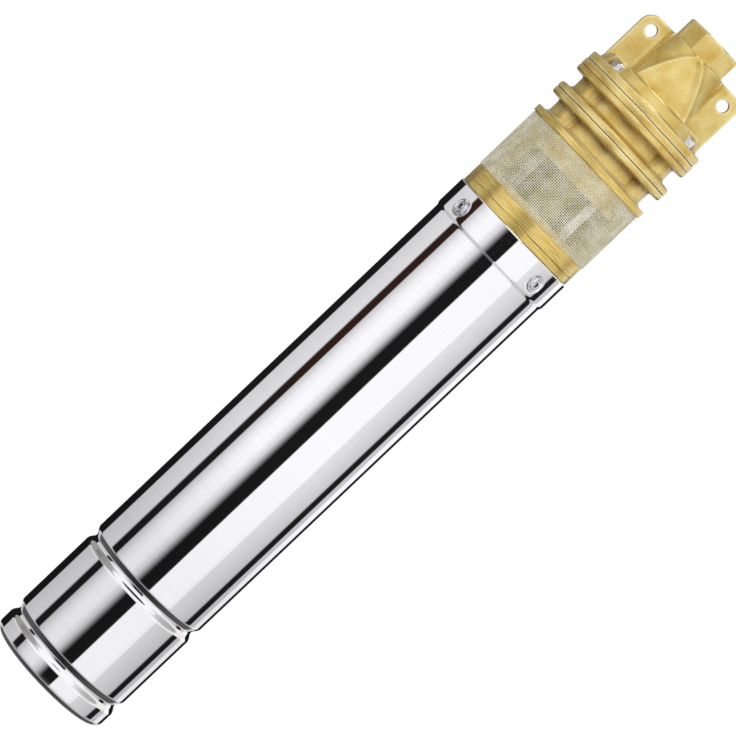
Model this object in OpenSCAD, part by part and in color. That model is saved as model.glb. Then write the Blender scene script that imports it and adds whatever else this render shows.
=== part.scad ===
// Borehole submersible pump: two peripheral stages above an oil-filled motor.
// Millimetres. +Z runs up the shaft to the outlet, the ground is z = 0 and -Y is the front.
// Angles are measured around the shaft from the front towards +X.

/* [Motor shell] */
// Outer diameter of the motor tube
shell_d = 93.5; // [90:0.5:96]
// Wall of the motor tube
shell_wall = 1.2; // [1:0.1:1.6]
// Height of the tube's top edge above the ground
shell_len = 416; // [405:1:440]
// Radius of the rolled foot corner
foot_radius = 5; // [3.5:0.5:6.5]
// Width of the flat lip rolled in under the bottom cover
foot_lip = 8; // [5:0.5:10]
// Depth of the two rolled grooves
groove_depth = 2.8; // [2:0.1:3.4]
// Width of the two rolled grooves
groove_w = 11; // [9:0.5:13]
// Height of the lower groove's middle
lower_groove_z = 18.6; // [17:0.2:20]
// Height of the upper groove's middle
upper_groove_z = 87; // [80:0.5:100]
// Step from the tube out to the top band
band_step = 1; // [0.6:0.1:1.4]
// Length of the top band
band_len = 20.5; // [18:0.5:23]
// Length of the slope from the tube to the band
band_taper = 3.2; // [2:0.2:5]

/* [Band screws] */
// Thread diameter of the band screws
band_screw_d = 5; // [4:0.5:6]
// Length of a band screw under its head
band_screw_len = 9; // [7:0.5:12]
// Diameter of a band screw's head
band_head_d = 9; // [8:0.5:10]
// Height of a band screw's head
band_head_h = 2.6; // [2:0.2:3]
// Width of the hexagon socket in a band screw
band_socket = 3; // [2.5:0.5:4]
// Drop of the band screws below the tube's top edge
band_screw_drop = 12.7; // [9:0.1:14]
// Number of band screws
band_screw_count = 4; // [3:1:6]
// Angle of the first band screw
band_screw_clock = 39; // [30:1:44]
// Depth of the flat under a band screw's head
band_spot = 0.5; // [0.3:0.1:0.7]

/* [Bottom cover] */
// Height of the bottom cover
cover_h = 28.8; // [27:0.2:34]
// Floor of the bottom cover
cover_floor = 8; // [6:0.5:12]
// Wall of the bottom cover around its pocket
cover_wall = 12; // [10:0.5:14]
// Diameter of the breather holes
breather_d = 5; // [3:0.5:8]
// Distance of the breather holes from the axis
breather_r = 18; // [12:1:24]
// Number of breather holes
breather_count = 4; // [2:1:6]
// Chamfer that clears the rolled foot
cover_chamfer = 4.6; // [4:0.2:6]

/* [Seal rings] */
// Section of the seal rings against the tube
ring_section = 2.4; // [2:0.1:3]
// Drop of the cover's seal ring below the cover's top
cover_ring_drop = 3.2; // [2.6:0.2:4]
// Rise of the bracket's seal ring above the spigot's lower edge
bracket_ring_rise = 5; // [3:0.5:7]

/* [Diaphragm] */
// Thickness of the rubber diaphragm
diaphragm_t = 1.6; // [1:0.1:2.5]
// Rise of the diaphragm's crown above its rim
diaphragm_rise = 16; // [8:1:24]
// Radius of the diaphragm's crown
crown_r = 20; // [12:1:26]
// Thickness of the clamp ring
clamp_t = 2.5; // [2:0.1:4]
// Width of the clamp ring
clamp_w = 11; // [9.5:0.5:12]
// Step from the cover's rim in to the clamp ring
clamp_step = 1; // [0.5:0.1:1.5]
// Thread diameter of the clamp screws
clamp_screw_d = 4; // [3:0.5:5]
// Length of a clamp screw under its head
clamp_screw_len = 12; // [8:1:16]
// Number of clamp screws
clamp_screw_count = 6; // [4:1:8]

/* [Lower bracket] */
// Thickness of the lower bracket's disc
lower_disc_t = 18; // [15:0.5:22]
// Floor under the lower bearing
lower_floor_t = 12; // [8:0.5:14]
// Wall around the lower bearing
lower_hub_wall = 5; // [3:0.5:8]
// Diameter of the oil holes
oil_hole_d = 9; // [6:0.5:11]
// Number of oil holes
oil_hole_count = 6; // [3:1:8]
// Thickness of the wave spring
wave_t = 1; // [0.6:0.1:1.5]
// Radial width of the wave spring
wave_w = 3.5; // [2.5:0.1:4]
// Rise of the lower hub's edge above the bearing
hub_edge = 0.5; // [0:0.1:1]

/* [Bearings] */
// Bore of the lower bearing
lower_bore = 15; // [12:1:17]
// Outer diameter of the lower bearing
lower_od = 35; // [32:1:40]
// Width of the lower bearing
lower_w = 11; // [9:1:14]
// Ball diameter of the lower bearing
lower_ball_d = 5.95; // [5:0.05:6.5]
// Bore of the upper bearing
upper_bore = 17; // [16:0.5:18]
// Outer diameter of the upper bearing
upper_od = 40; // [38:1:44]
// Width of the upper bearing
upper_w = 12; // [11:0.5:13]
// Ball diameter of the upper bearing
upper_ball_d = 6.75; // [6:0.05:7]
// Balls in each bearing
ball_count = 8; // [6:1:8]
// Play between the balls and their tracks
race_gap = 0.15; // [0.1:0.01:0.25]

/* [Motor] */
// Room between the lower bearing hub and the stator
stator_lift = 49.5; // [40:0.5:60]
// Length of the stator and rotor cores
stack_len = 170; // [120:5:175]
// Outer diameter of the rotor
rotor_d = 49.2; // [46:0.2:51]
// Air gap between rotor and stator
air_gap = 0.4; // [0.3:0.05:0.6]
// Number of stator slots
slot_count = 24; // [18:6:24]
// Width of a stator slot
slot_w = 4; // [3:0.1:4.6]
// Depth of a stator slot
slot_depth = 10; // [7:0.5:12]
// Iron between a slot and the stator bore
slot_lip = 2; // [1.4:0.1:3]
// Width of a slot's mouth
slot_mouth = 1.6; // [1:0.1:2.4]
// Length of the winding past each end of the core
end_turn_len = 28; // [20:1:32]
// Number of rotor bars
bar_count = 18; // [12:1:20]
// Diameter of a rotor bar
bar_d = 5; // [4:0.2:6]
// Iron outside a rotor bar
bar_cover = 1.4; // [0.8:0.1:2]
// Length of each end ring of the rotor cage
end_ring_len = 8; // [5:0.5:12]
// Radial width of the end rings
end_ring_w = 9; // [8:0.5:11]
// Step from the rotor's surface in to the end rings
end_ring_step = 0.6; // [0.2:0.1:1]

/* [Shaft] */
// Shaft diameter inside the rotor core
core_shaft_d = 22; // [20:0.5:24]
// Shaft diameter between the rotor and the upper bearing
collar_shaft_d = 20.5; // [19.5:0.5:22]
// Shaft diameter through the seal and impellers
tip_shaft_d = 14; // [12:0.5:15]
// Thread diameter at the shaft's upper end
nut_thread_d = 10; // [8:0.5:11]
// Height of the impeller nut
nut_h = 6; // [5:0.5:7]
// Width of the impeller nut across its flats
nut_af = 17; // [16:0.5:19]
// Thread left above the impeller nut
thread_end = 1.5; // [0.5:0.5:2.5]
// Thread left under the impeller washer, so that the nut clamps the impeller
nut_draw = 0.3; // [0.1:0.1:0.6]
// Room around the impeller washer in the head
nut_room = 2; // [1:0.2:3]
// Thickness of the impeller washer
shaft_washer_t = 1.5; // [1:0.1:2]
// Outer diameter of the impeller washer
shaft_washer_d = 20; // [18:0.5:22]
// Thickness of the shaft circlip
circlip_t = 1.2; // [1:0.1:1.5]
// Radial width of the shaft circlip
circlip_w = 3; // [2:0.1:3.5]
// Depth of the circlip's groove in the shaft
circlip_depth = 0.8; // [0.5:0.1:1]
// Half angle of the circlip's opening
circlip_open = 20; // [10:1:40]
// Length of shaft below the lower bearing
shaft_tail = 3; // [1:0.5:5]
// Step in radius between the rotor seat and the shaft below it
shaft_shoulder = 1.5; // [1:0.1:2]
// Width of an impeller key
key_w = 4; // [3:0.5:5]
// Height of an impeller key
key_h = 4; // [3:0.2:4.6]
// Depth of a key's seat in the shaft
key_seat = 2; // [1.6:0.1:2.4]

/* [Upper bracket] */
// Height of the bracket's visible rim
rim_h = 5.4; // [4:0.2:8]
// Length of the spigot inside the tube
spigot_len = 27; // [26:0.5:30]
// Length of the bearing nose below the spigot
nose_len = 14; // [13:0.5:18]
// Wall around the upper bearing
nose_wall = 6; // [4:0.5:9]
// Shoulder between the upper bearing and the lip seal
shoulder_t = 3; // [2:0.2:4]
// Outer diameter of the lip seal
lip_seal_d = 30; // [28:0.5:34]
// Height of the lip seal
lip_seal_h = 7; // [6:0.5:8]
// Diameter of the oil chamber between the seals
oil_chamber_d = 34; // [32:0.5:38]
// Thread diameter of the oil filler plug
plug_d = 10; // [8:0.5:12]
// Width of the filler plug across its flats
plug_af = 14; // [13:0.5:16]
// Distance of the filler plug from the axis
plug_r = 32; // [30:0.5:33]
// Length of the filler plug's thread
plug_len = 12; // [8:0.5:14]
// Height of the filler plug's hexagon
plug_head_h = 5; // [4:0.5:7]

/* [Mechanical seal] */
// Diameter of the seal seat
seat_d = 28; // [26:0.5:30]
// Height of the seal seat
seat_h = 7; // [5:0.5:8]
// Width of the shoulder under the seal seat
seat_ledge = 3; // [2:0.2:4]
// Outer diameter of the rotating seal face
seal_d = 26; // [24:0.5:28]
// Height of the rotating seal face
face_h = 6; // [5:0.5:8]
// Wall of the rubber bellows
bellows_wall = 1.8; // [1.2:0.1:2]
// Length of the seal spring
spring_len = 19; // [16:0.5:20]
// Wire diameter of the seal spring
spring_wire = 1.6; // [1.2:0.1:2]
// Turns of the seal spring
spring_turns = 5; // [4:1:6]
// Height of the seal collar
collar_h = 7; // [6:0.5:8]

/* [Suction bracket] */
// Height of the ring under the screen
suction_ring_h = 9; // [8.5:0.1:12]
// Thickness of the flange above the screen
suction_flange_t = 4.8; // [3:0.2:7]
// Diameter of the flange above the screen
suction_flange_d = 96.8; // [96:0.2:98]
// Outer diameter of the tube around the seal
hub_d = 40; // [37:0.5:42]
// Wall of the tube around the seal
hub_wall = 3.5; // [3:0.1:4]
// Height of the block under the flange
block_h = 15; // [13:0.5:18]
// Half angle of the front and back windows
window_half = 47; // [40:1:50]
// Thickness of the side walls between the windows
side_wall = 7; // [5:0.5:9]
// Height of the lip that holds the screen's foot
screen_lip_h = 5; // [3:0.5:5.5]
// Width of the lip that holds the screen's foot
screen_lip_w = 2; // [1.5:0.1:2.2]
// Thread diameter of the bracket screws
bracket_screw_d = 5; // [4:0.5:6]
// Length of a bracket screw under its head
bracket_screw_len = 14; // [11:0.5:16]
// Distance of the bracket screws from the axis
bracket_screw_r = 38.5; // [37:0.5:40]
// Angle of the bracket screws from the front and the back
bracket_screw_angle = 27; // [24:1:32]

/* [Intake screen] */
// Outer diameter of the screen
screen_d = 94.8; // [94:0.2:95.6]
// Thickness of the screen
screen_wall = 0.8; // [0.5:0.1:1]
// Height of the screen
screen_h = 49; // [46:0.5:60]

/* [Cable inlet] */
// Distance of the cable gland from the axis
gland_r = 34; // [33:0.5:35]
// Thread diameter of the gland
gland_d = 13; // [12:0.5:14]
// Width of the gland across its flats
gland_af = 17; // [16:0.5:18]
// Height of the gland's hexagon
gland_hex_h = 6; // [5:0.5:8]
// Thread diameter above the gland's hexagon
gland_thread_d = 15; // [14.4:0.2:15.6]
// Length of thread above the gland's hexagon
gland_thread_h = 5; // [4:0.5:6]
// Height of the gland nut
gland_nut_h = 8; // [7:0.5:10]
// Diameter of the cable passage
cable_d = 8.4; // [7:0.2:9]
// Wall of the rubber bush in the gland
gland_bush_wall = 1.4; // [1:0.1:1.5]
// Radial squeeze of the rubber bush on the cable
cable_squeeze = 0.3; // [0:0.1:0.5]
// Width of the cable notches in the flanges
cable_way_d = 9.4; // [9.2:0.2:10]
// Diameter of the cable hole through the suction bracket
cable_hole_d = 8.8; // [8.4:0.1:9]
// Distance of the cable notches from the axis
cable_way_r = 40.5; // [40:0.5:41]

/* [Stage casings] */
// Diameter of the flange between the stages
mid_flange_d = 98; // [96:0.2:100]
// Diameter of the second casing's upper flange
top_flange_d = 97.8; // [96:0.2:100]
// Height of the first casing
lower_casing_h = 16.2; // [16:0.2:20]
// Height of the second casing
upper_casing_h = 25.6; // [25:0.2:30]
// Thickness of each half of the middle flange
half_flange_t = 4.7; // [4:0.1:5.5]
// Thickness of the second casing's upper flange
top_flange_t = 9.8; // [8:0.2:11]
// Rounding of the flange edges
flange_round = 2; // [1:0.2:2.6]
// Depth of the trim line around the upper flange
trim_line = 0.6; // [0.3:0.1:0.9]
// Diameter of the necks
neck_d = 82.6; // [81:0.2:85]
// Diameter of the neck wall inside the recesses
recess_d = 74; // [72:0.5:76]
// Half angle of the front and back recesses
recess_half = 46; // [42:0.5:47]
// Diameter of the bolt bosses in the necks
boss_d = 12; // [11:0.5:13]
// Thickness of the gaskets between the castings
gasket_t = 0.4; // [0.2:0.1:0.8]
// Wall of the casing bushes
bush_wall = 3.5; // [2.5:0.1:4]

/* [Impellers] */
// Diameter of the impellers
impeller_d = 56; // [53:0.5:57]
// Thickness of the impellers
impeller_t = 9; // [8:0.2:9.6]
// Number of vanes on each impeller
vane_count = 32; // [24:1:36]
// Width of the gap between two vanes
vane_gap = 2.6; // [2:0.1:3]
// Radial length of the vanes
vane_len = 6; // [4:0.5:7]
// Depth of the gaps from each face
vane_depth = 3.4; // [2.4:0.1:3.6]
// Play between an impeller and its chamber
running_gap = 0.4; // [0.3:0.05:0.6]
// Width of the channel around an impeller
channel_w = 4; // [3:0.1:4.4]
// Half angle of the stripper that closes the channel
stripper_half = 18; // [12:1:22]
// Angle from the stripper's middle to a port's far end
port_end = 60; // [45:1:75]
// Radial width of the ports
port_w = 8; // [6:0.5:9]
// Outer diameter of the spacers between the impellers
spacer_d = 20; // [19:0.5:21]

/* [Head bolts] */
// Thread diameter of the head bolts
bolt_d = 6; // [5:0.5:6.5]
// Distance of the head bolts from the axis
bolt_r = 37.5; // [37:0.1:38]
// Angle of the head bolts from the front and the back
bolt_angle = 56; // [54:1:60]
// Width of a bolt head across its flats
bolt_af = 10; // [8:0.5:11]
// Height of a bolt head
bolt_head_h = 4; // [3:0.2:5]
// Length of thread in the suction bracket
bolt_grip = 16; // [10:0.5:18]
// Outer diameter of the bolt washers
washer_d = 11.6; // [11.2:0.2:12.4]
// Thickness of the bolt washers
washer_t = 1.6; // [1:0.1:2]

/* [Outlet head] */
// Thickness of the head's flange
head_flange_t = 6; // [5.6:0.1:8]
// Diameter of the head's flange
head_flange_d = 96.8; // [95:0.2:98]
// Diameter of the skirt at the flange
skirt_base_d = 88; // [86:0.5:90]
// Diameter of the skirt at its ledge
skirt_top_d = 82; // [78:0.5:84]
// Height of the skirt
skirt_h = 8.6; // [8:0.2:12]
// Diameter of the flats for the bolt heads
spot_d = 14; // [13:0.2:14.6]
// Diameter of the dome at the ledge
dome_base_d = 66; // [62:0.5:70]
// Diameter of the dome under the spout
dome_top_d = 46; // [45:0.2:48]
// Height of the dome
dome_h = 36.2; // [32:0.2:44]
// Distance of the dome's side faces from the axis
dome_side = 23; // [22.6:0.2:25]
// Distance of the dome's front face from the axis, at the ledge
dome_front_base = 26.8; // [25:0.2:30]
// Distance of the dome's front face from the axis, under the spout
dome_front_top = 22.6; // [22:0.2:24]
// Wall of the dome
dome_wall = 4; // [3:0.2:4.4]
// Thickness of the floor between the second stage and the dome
head_floor_t = 3; // [2.4:0.2:3.2]
// Width over both lifting lugs
lug_span = 85.8; // [82:0.2:90]
// Thickness of the lifting lugs
lug_t = 8; // [6:0.5:10]
// Radius of the lugs' upper corners
lug_corner = 9; // [6:0.5:9.5]
// Diameter of the rope holes
lug_hole_d = 8.4; // [6:0.2:10]
// Distance between the two rope holes
lug_hole_span = 66.6; // [64:0.2:68]
// Drop of the rope holes below the lugs' top
lug_hole_drop = 9.9; // [9:0.1:14]
// Width of the eight-sided spout across its flats
spout_af = 39.6; // [38:0.2:41]
// Height of the spout
spout_h = 14.7; // [12:0.1:20]
// Chamfer on the spout's corners
spout_chamfer = 1.2; // [0.6:0.1:2]
// Diameter of the threaded outlet, at the crests of its thread
outlet_d = 30.3; // [28:0.1:31]
// Length of the threaded outlet
outlet_len = 20; // [15:0.5:24]
// Chamfer at the outlet's mouth
outlet_chamfer = 1.2; // [0.5:0.1:1.6]

/* [Turned edges] */
// Rounding of the turned edges
edge_break = 0.5; // [0.3:0.1:0.8]

/* [Fits] */
// Radial play of pieces that are pressed or screwed together
press_gap = 0.04; // [0.02:0.01:0.06]
// Radial play of pieces that slide together by hand
slip_gap = 0.1; // [0.06:0.01:0.14]
// Radial play of the spacers in their bushes
bush_gap = 0.06; // [0.03:0.01:0.09]
// Gap between the seal face and its seat
seal_gap = 0.2; // [0.1:0.05:0.3]
// Radial play of a bolt in its hole
bolt_gap = 0.3; // [0.2:0.05:0.4]
// Play around the shaft where nothing seals it
shaft_play = 0.6; // [0.4:0.1:0.8]

/* [Hidden] */
$fn = 96;
cut = 1;

// Radii
shell_r = shell_d / 2;
shell_ri = shell_r - shell_wall;
band_r = shell_r + band_step;
spigot_r = shell_ri - slip_gap;
groove_arc = (groove_w * groove_w / 4 + groove_depth * groove_depth) / (2 * groove_depth);
groove_mid_r = shell_r - groove_depth + groove_arc;
foot_flat_r = shell_r - foot_radius;
pocket_r = spigot_r - cover_wall;
clamp_out_r = spigot_r - clamp_step;
clamp_in_r = clamp_out_r - clamp_w;
clamp_screw_r = pocket_r + cover_wall / 2;
rotor_r = rotor_d / 2;
stator_in_r = rotor_r + air_gap;
slot_in_r = stator_in_r + slot_lip;
slot_out_r = slot_in_r + slot_depth;
bar_r = rotor_r - bar_cover - bar_d / 2;
core_shaft_r = core_shaft_d / 2;
tip_r = tip_shaft_d / 2;
spacer_r = spacer_d / 2;
circlip_r = upper_bore / 2 - circlip_depth;
lower_hub_r = lower_od / 2 + lower_hub_wall;
upper_nose_r = upper_od / 2 + nose_wall;
oil_hole_r = (lower_hub_r + shell_r - groove_depth - shell_wall) / 2;
screen_r = screen_d / 2;
screen_ri = screen_r - screen_wall;
rebate_r = screen_ri - press_gap;
hub_ri = hub_d / 2 - hub_wall;
impeller_r = impeller_d / 2;
chamber_r = impeller_r + running_gap;
channel_r = chamber_r + channel_w;
port_out_r = channel_r;
port_in_r = port_out_r - port_w;
bush_r = spacer_r + bush_gap + bush_wall;
bolt_hole_r = bolt_d / 2 + bolt_gap;
spout_r = spout_af / 2 / cos(22.5);
bolt_angles = [bolt_angle, 180 - bolt_angle, 180 + bolt_angle, 360 - bolt_angle];
band_angles = [for (i = [0:band_screw_count - 1]) band_screw_clock + i * 360 / band_screw_count];
clamp_angles = [for (i = [0:clamp_screw_count - 1]) i * 360 / clamp_screw_count];
bracket_angles = [bracket_screw_angle, 180 - bracket_screw_angle, 180 + bracket_screw_angle,
                  360 - bracket_screw_angle];
back = 180;
right = 90;

// Heights, from the ground up
cover_z = shell_wall;
cover_top = cover_z + cover_h;
diaphragm_z = cover_top;
clamp_z = diaphragm_z + diaphragm_t;
lower_disc_z = upper_groove_z - lower_disc_t / 2;
lower_disc_top = lower_disc_z + lower_disc_t;
wave_z = lower_disc_z + lower_floor_t;
lower_bearing_z = wave_z + wave_t;
lower_hub_top = lower_bearing_z + lower_w + hub_edge;
stack_z = lower_hub_top + stator_lift;
stack_top = stack_z + stack_len;
spigot_z = shell_len - spigot_len;
nose_z = spigot_z - nose_len;
upper_seat_top = spigot_z;
upper_bearing_z = upper_seat_top - upper_w;
lip_seal_z = upper_seat_top + shoulder_t;
oil_chamber_z = lip_seal_z + lip_seal_h;
rim_top = shell_len + rim_h;
seat_z = rim_top - seat_h;
oil_chamber_top = seat_z - shoulder_t;
face_z = rim_top + seal_gap;
spring_z = face_z + face_h;
collar_z = spring_z + spring_len;
ring_top = rim_top + suction_ring_h;
flange_under = ring_top + screen_h;
block_z = flange_under - block_h;
suction_top = flange_under + suction_flange_t;
lower_casing_top = suction_top + lower_casing_h;
upper_casing_z = lower_casing_top + gasket_t;
upper_casing_top = upper_casing_z + upper_casing_h;
head_z = upper_casing_top + gasket_t;
head_flange_top = head_z + head_flange_t;
ledge_z = head_flange_top + skirt_h;
dome_top = ledge_z + dome_h;
top_z = dome_top + spout_h;
first_mid = lower_casing_top + gasket_t / 2;
second_mid = upper_casing_top + gasket_t / 2;
chamber_half = impeller_t / 2 + running_gap;
chamber_depth = chamber_half - gasket_t / 2;
first_under = first_mid - impeller_t / 2;
first_over = first_mid + impeller_t / 2;
second_under = second_mid - impeller_t / 2;
second_over = second_mid + impeller_t / 2;
shaft_washer_z = second_over;
nut_z = shaft_washer_z + shaft_washer_t;
shaft_top = nut_z + nut_h + thread_end;
head_floor_z = second_mid + chamber_half;
head_room_z = head_floor_z + head_floor_t;
head_room_top = ledge_z - dome_wall;
bolt_bottom = suction_top - bolt_grip;
screw_z = shell_len - band_screw_drop;
gland_hex_z = ring_top;
gland_thread_z = gland_hex_z + gland_hex_h;
gland_top = gland_thread_z + gland_thread_h;
gland_nut_z = gland_thread_z + nut_draw;

// Places children at an angle around the shaft
module around(r, a, z) {
    translate([r * sin(a), -r * cos(a), z]) children();
}

// Points the children's +Z outwards from the shaft
module outward(a, z) {
    rotate([0, 0, a - 90]) translate([0, 0, z]) rotate([0, 90, 0]) children();
}

// Flat ring
module tube(r_out, r_in, z, h) {
    translate([0, 0, z]) difference() {
        cylinder(r = r_out, h = h);
        translate([0, 0, -cut]) cylinder(r = r_in, h = h + 2 * cut);
    }
}

// Hole along the shaft, cut through at both ends
module hole(r, z, h) {
    translate([0, 0, z - cut]) cylinder(r = r, h = h + 2 * cut);
}

// Pocket along the shaft, flush with its lower and upper level
module pocket(r, z, h) {
    translate([0, 0, z]) cylinder(r = r, h = h);
}

// Sector between two angles
module sector(a_from, a_to, r, z, h) {
    step = (a_to - a_from) / 8;
    translate([0, 0, z]) linear_extrude(h)
        polygon(concat([[0, 0]],
            [for (i = [0:8]) [r * sin(a_from + i * step), -r * cos(a_from + i * step)]]));
}

// Disc with rounded lower and upper edges
module rim_disc(r, z, h, low, high) {
    translate([0, 0, z]) rotate_extrude() {
        translate([0, low]) square([r, h - low - high]);
        square([r - low, h / 2]);
        translate([0, h / 2]) square([r - high, h / 2]);
        if (low > 0) translate([r - low, low]) circle(low);
        if (high > 0) translate([r - high, h - high]) circle(high);
    }
}

// Hexagon prism
module hexagon(af, z, h) {
    translate([0, 0, z]) cylinder(r = af / 2 / cos(30), h = h, $fn = 6);
}

// Ring of round section
module seal_ring(r_mid, z, section) {
    translate([0, 0, z]) rotate_extrude() translate([r_mid, 0]) circle(d = section);
}

// Round groove that takes the shell's rolled bead
module bead_groove(z) {
    translate([0, 0, z]) rotate_extrude() translate([groove_mid_r, 0])
        circle(groove_arc + shell_wall + slip_gap);
}

// Groove for a seal ring in a spigot of the shell
module seal_groove(z) {
    depth = ring_section - slip_gap + press_gap;
    tube(shell_r, spigot_r - depth, z - ring_section * 0.6, ring_section * 1.2);
}

// Rolled tube wall, drawn as half a section
module shell_section() {
    difference() {
        union() {
            translate([shell_ri, foot_radius]) square([shell_wall, shell_len - foot_radius]);
            polygon([[shell_ri, shell_len], [shell_ri, shell_len - band_len - band_taper],
                     [shell_r, shell_len - band_len - band_taper], [band_r, shell_len - band_len],
                     [band_r, shell_len]]);
            translate([foot_flat_r, foot_radius]) intersection() {
                difference() {
                    circle(foot_radius);
                    circle(foot_radius - shell_wall);
                }
                translate([0, -foot_radius]) square(foot_radius);
            }
            translate([foot_flat_r - foot_lip, 0]) square([foot_lip, shell_wall]);
            for (z = [lower_groove_z, upper_groove_z]) intersection() {
                translate([groove_mid_r, z]) circle(groove_arc + shell_wall);
                translate([0, z - groove_w]) square([shell_r - shell_wall / 2, 2 * groove_w]);
            }
        }
        for (z = [lower_groove_z, upper_groove_z])
            translate([groove_mid_r, z]) circle(groove_arc);
    }
}

module motor_shell() {
    color("gainsboro") difference() {
        rotate_extrude() shell_section();
        for (a = band_angles) outward(a, screw_z) {
            cylinder(r = band_screw_d / 2 + slip_gap, h = band_r + cut);
            translate([0, 0, band_r - band_spot]) cylinder(d = band_head_d + 1, h = 2);
        }
    }
}

module bottom_cover() {
    color("dimgray") difference() {
        union() {
            pocket(spigot_r, cover_z + cover_chamfer, cover_h - cover_chamfer);
            translate([0, 0, cover_z])
                cylinder(r1 = spigot_r - cover_chamfer, r2 = spigot_r, h = cover_chamfer);
        }
        bead_groove(lower_groove_z);
        seal_groove(cover_top - cover_ring_drop);
        pocket(pocket_r, cover_z + cover_floor, cover_h);
        for (i = [0:breather_count - 1]) around(breather_r, i * 360 / breather_count, 0)
            cylinder(d = breather_d, h = cover_top);
        for (a = clamp_angles) around(clamp_screw_r, a, clamp_z)
            translate([0, 0, clamp_t - clamp_screw_len - cut])
                cylinder(r = clamp_screw_d / 2 + press_gap, h = clamp_screw_len + cut);
    }
}

module cover_seal_ring() {
    color("black") seal_ring(shell_ri - ring_section / 2 - press_gap / 2, cover_top - cover_ring_drop,
                             ring_section - press_gap);
}

module oil_diaphragm() {
    rim_in = clamp_in_r - clamp_step;
    color("black") difference() {
        rotate_extrude() polygon([
            [clamp_out_r, diaphragm_z], [clamp_out_r, diaphragm_z + diaphragm_t],
            [rim_in, diaphragm_z + diaphragm_t], [crown_r, diaphragm_z + diaphragm_rise],
            [0, diaphragm_z + diaphragm_rise], [0, diaphragm_z + diaphragm_rise - diaphragm_t],
            [crown_r - diaphragm_t / 2, diaphragm_z + diaphragm_rise - diaphragm_t],
            [rim_in - diaphragm_t / 2, diaphragm_z]]);
        for (a = clamp_angles) around(clamp_screw_r, a, diaphragm_z - cut)
            cylinder(r = clamp_screw_d / 2 + slip_gap, h = diaphragm_t + 2 * cut);
    }
}

module clamp_ring() {
    color("silver") difference() {
        tube(clamp_out_r, clamp_in_r, clamp_z, clamp_t);
        for (a = clamp_angles) around(clamp_screw_r, a, clamp_z - cut)
            cylinder(r = clamp_screw_d / 2 + slip_gap, h = clamp_t + 2 * cut);
    }
}

// Screw with a round socket head, its seat at the local origin
module socket_screw(d, len, head_d, head_h, socket) {
    difference() {
        union() {
            translate([0, 0, -len]) cylinder(d = d, h = len);
            cylinder(d = head_d, h = head_h);
        }
        translate([0, 0, head_h / 2]) cylinder(r = socket / 2 / cos(30), h = head_h, $fn = 6);
    }
}

module clamp_screws() {
    color("silver")
    for (a = clamp_angles) around(clamp_screw_r, a, clamp_z + clamp_t)
        socket_screw(clamp_screw_d, clamp_screw_len, clamp_screw_d * 1.75, clamp_screw_d * 0.7,
                     clamp_screw_d * 0.7);
}

module lower_bracket() {
    color("lightgray") difference() {
        union() {
            pocket(spigot_r, lower_disc_z, lower_disc_t);
            pocket(lower_hub_r, lower_disc_z, lower_hub_top - lower_disc_z);
        }
        bead_groove(upper_groove_z);
        pocket(lower_od / 2 + press_gap, wave_z, lower_hub_top);
        hole(lower_bore / 2 + shaft_play, lower_disc_z, lower_floor_t);
        for (i = [0:oil_hole_count - 1]) around(oil_hole_r, (i + 0.5) * 360 / oil_hole_count, 0)
            cylinder(d = oil_hole_d, h = lower_hub_top);
    }
}

module wave_spring() {
    color("silver") tube(lower_od / 2 - slip_gap, lower_od / 2 - slip_gap - wave_w, wave_z, wave_t);
}

function pitch_r(bore, od) = (bore + od) / 4;
function land(ball_d) = ball_d * 0.3;

module track(bore, od, w, z, ball_d) {
    translate([0, 0, z + w / 2]) rotate_extrude() translate([pitch_r(bore, od), 0])
        circle(ball_d / 2 + race_gap);
}

module outer_ring(bore, od, w, z, ball_d) {
    difference() {
        tube(od / 2, pitch_r(bore, od) + land(ball_d), z, w);
        track(bore, od, w, z, ball_d);
    }
}

module inner_ring(bore, od, w, z, ball_d) {
    difference() {
        tube(pitch_r(bore, od) - land(ball_d), bore / 2, z, w);
        track(bore, od, w, z, ball_d);
    }
}

module balls(bore, od, w, z, ball_d) {
    for (i = [0:ball_count - 1]) around(pitch_r(bore, od), i * 360 / ball_count, z + w / 2)
        sphere(d = ball_d);
}

// Snap cage: a ring beside the balls with fingers between them
module cage(bore, od, w, z, ball_d) {
    ring_half = land(ball_d) * 0.55;
    difference() {
        tube(pitch_r(bore, od) + ring_half, pitch_r(bore, od) - ring_half, z + w / 2, w / 2 - 0.4);
        for (i = [0:ball_count - 1]) around(pitch_r(bore, od), i * 360 / ball_count, z + w / 2)
            sphere(d = ball_d + 2 * race_gap);
    }
}

module lower_bearing_outer() {
    color("silver") outer_ring(lower_bore, lower_od, lower_w, lower_bearing_z, lower_ball_d);
}

module lower_bearing_inner() {
    color("silver") inner_ring(lower_bore, lower_od, lower_w, lower_bearing_z, lower_ball_d);
}

module lower_bearing_balls() {
    color("white") balls(lower_bore, lower_od, lower_w, lower_bearing_z, lower_ball_d);
}

module lower_bearing_cage() {
    color("ivory") cage(lower_bore, lower_od, lower_w, lower_bearing_z, lower_ball_d);
}

module upper_bearing_outer() {
    color("silver") outer_ring(upper_bore, upper_od, upper_w, upper_bearing_z, upper_ball_d);
}

module upper_bearing_inner() {
    color("silver") inner_ring(upper_bore, upper_od, upper_w, upper_bearing_z, upper_ball_d);
}

module upper_bearing_balls() {
    color("white") balls(upper_bore, upper_od, upper_w, upper_bearing_z, upper_ball_d);
}

module upper_bearing_cage() {
    color("ivory") cage(upper_bore, upper_od, upper_w, upper_bearing_z, upper_ball_d);
}

module stator_core() {
    color("slategray") difference() {
        tube(spigot_r, stator_in_r, stack_z, stack_len);
        for (i = [0:slot_count - 1]) rotate([0, 0, i * 360 / slot_count]) {
            translate([slot_in_r, -slot_w / 2, stack_z - cut])
                cube([slot_depth, slot_w, stack_len + 2 * cut]);
            translate([stator_in_r - cut, -slot_mouth / 2, stack_z - cut])
                cube([slot_lip + 2 * cut, slot_mouth, stack_len + 2 * cut]);
        }
    }
}

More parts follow.
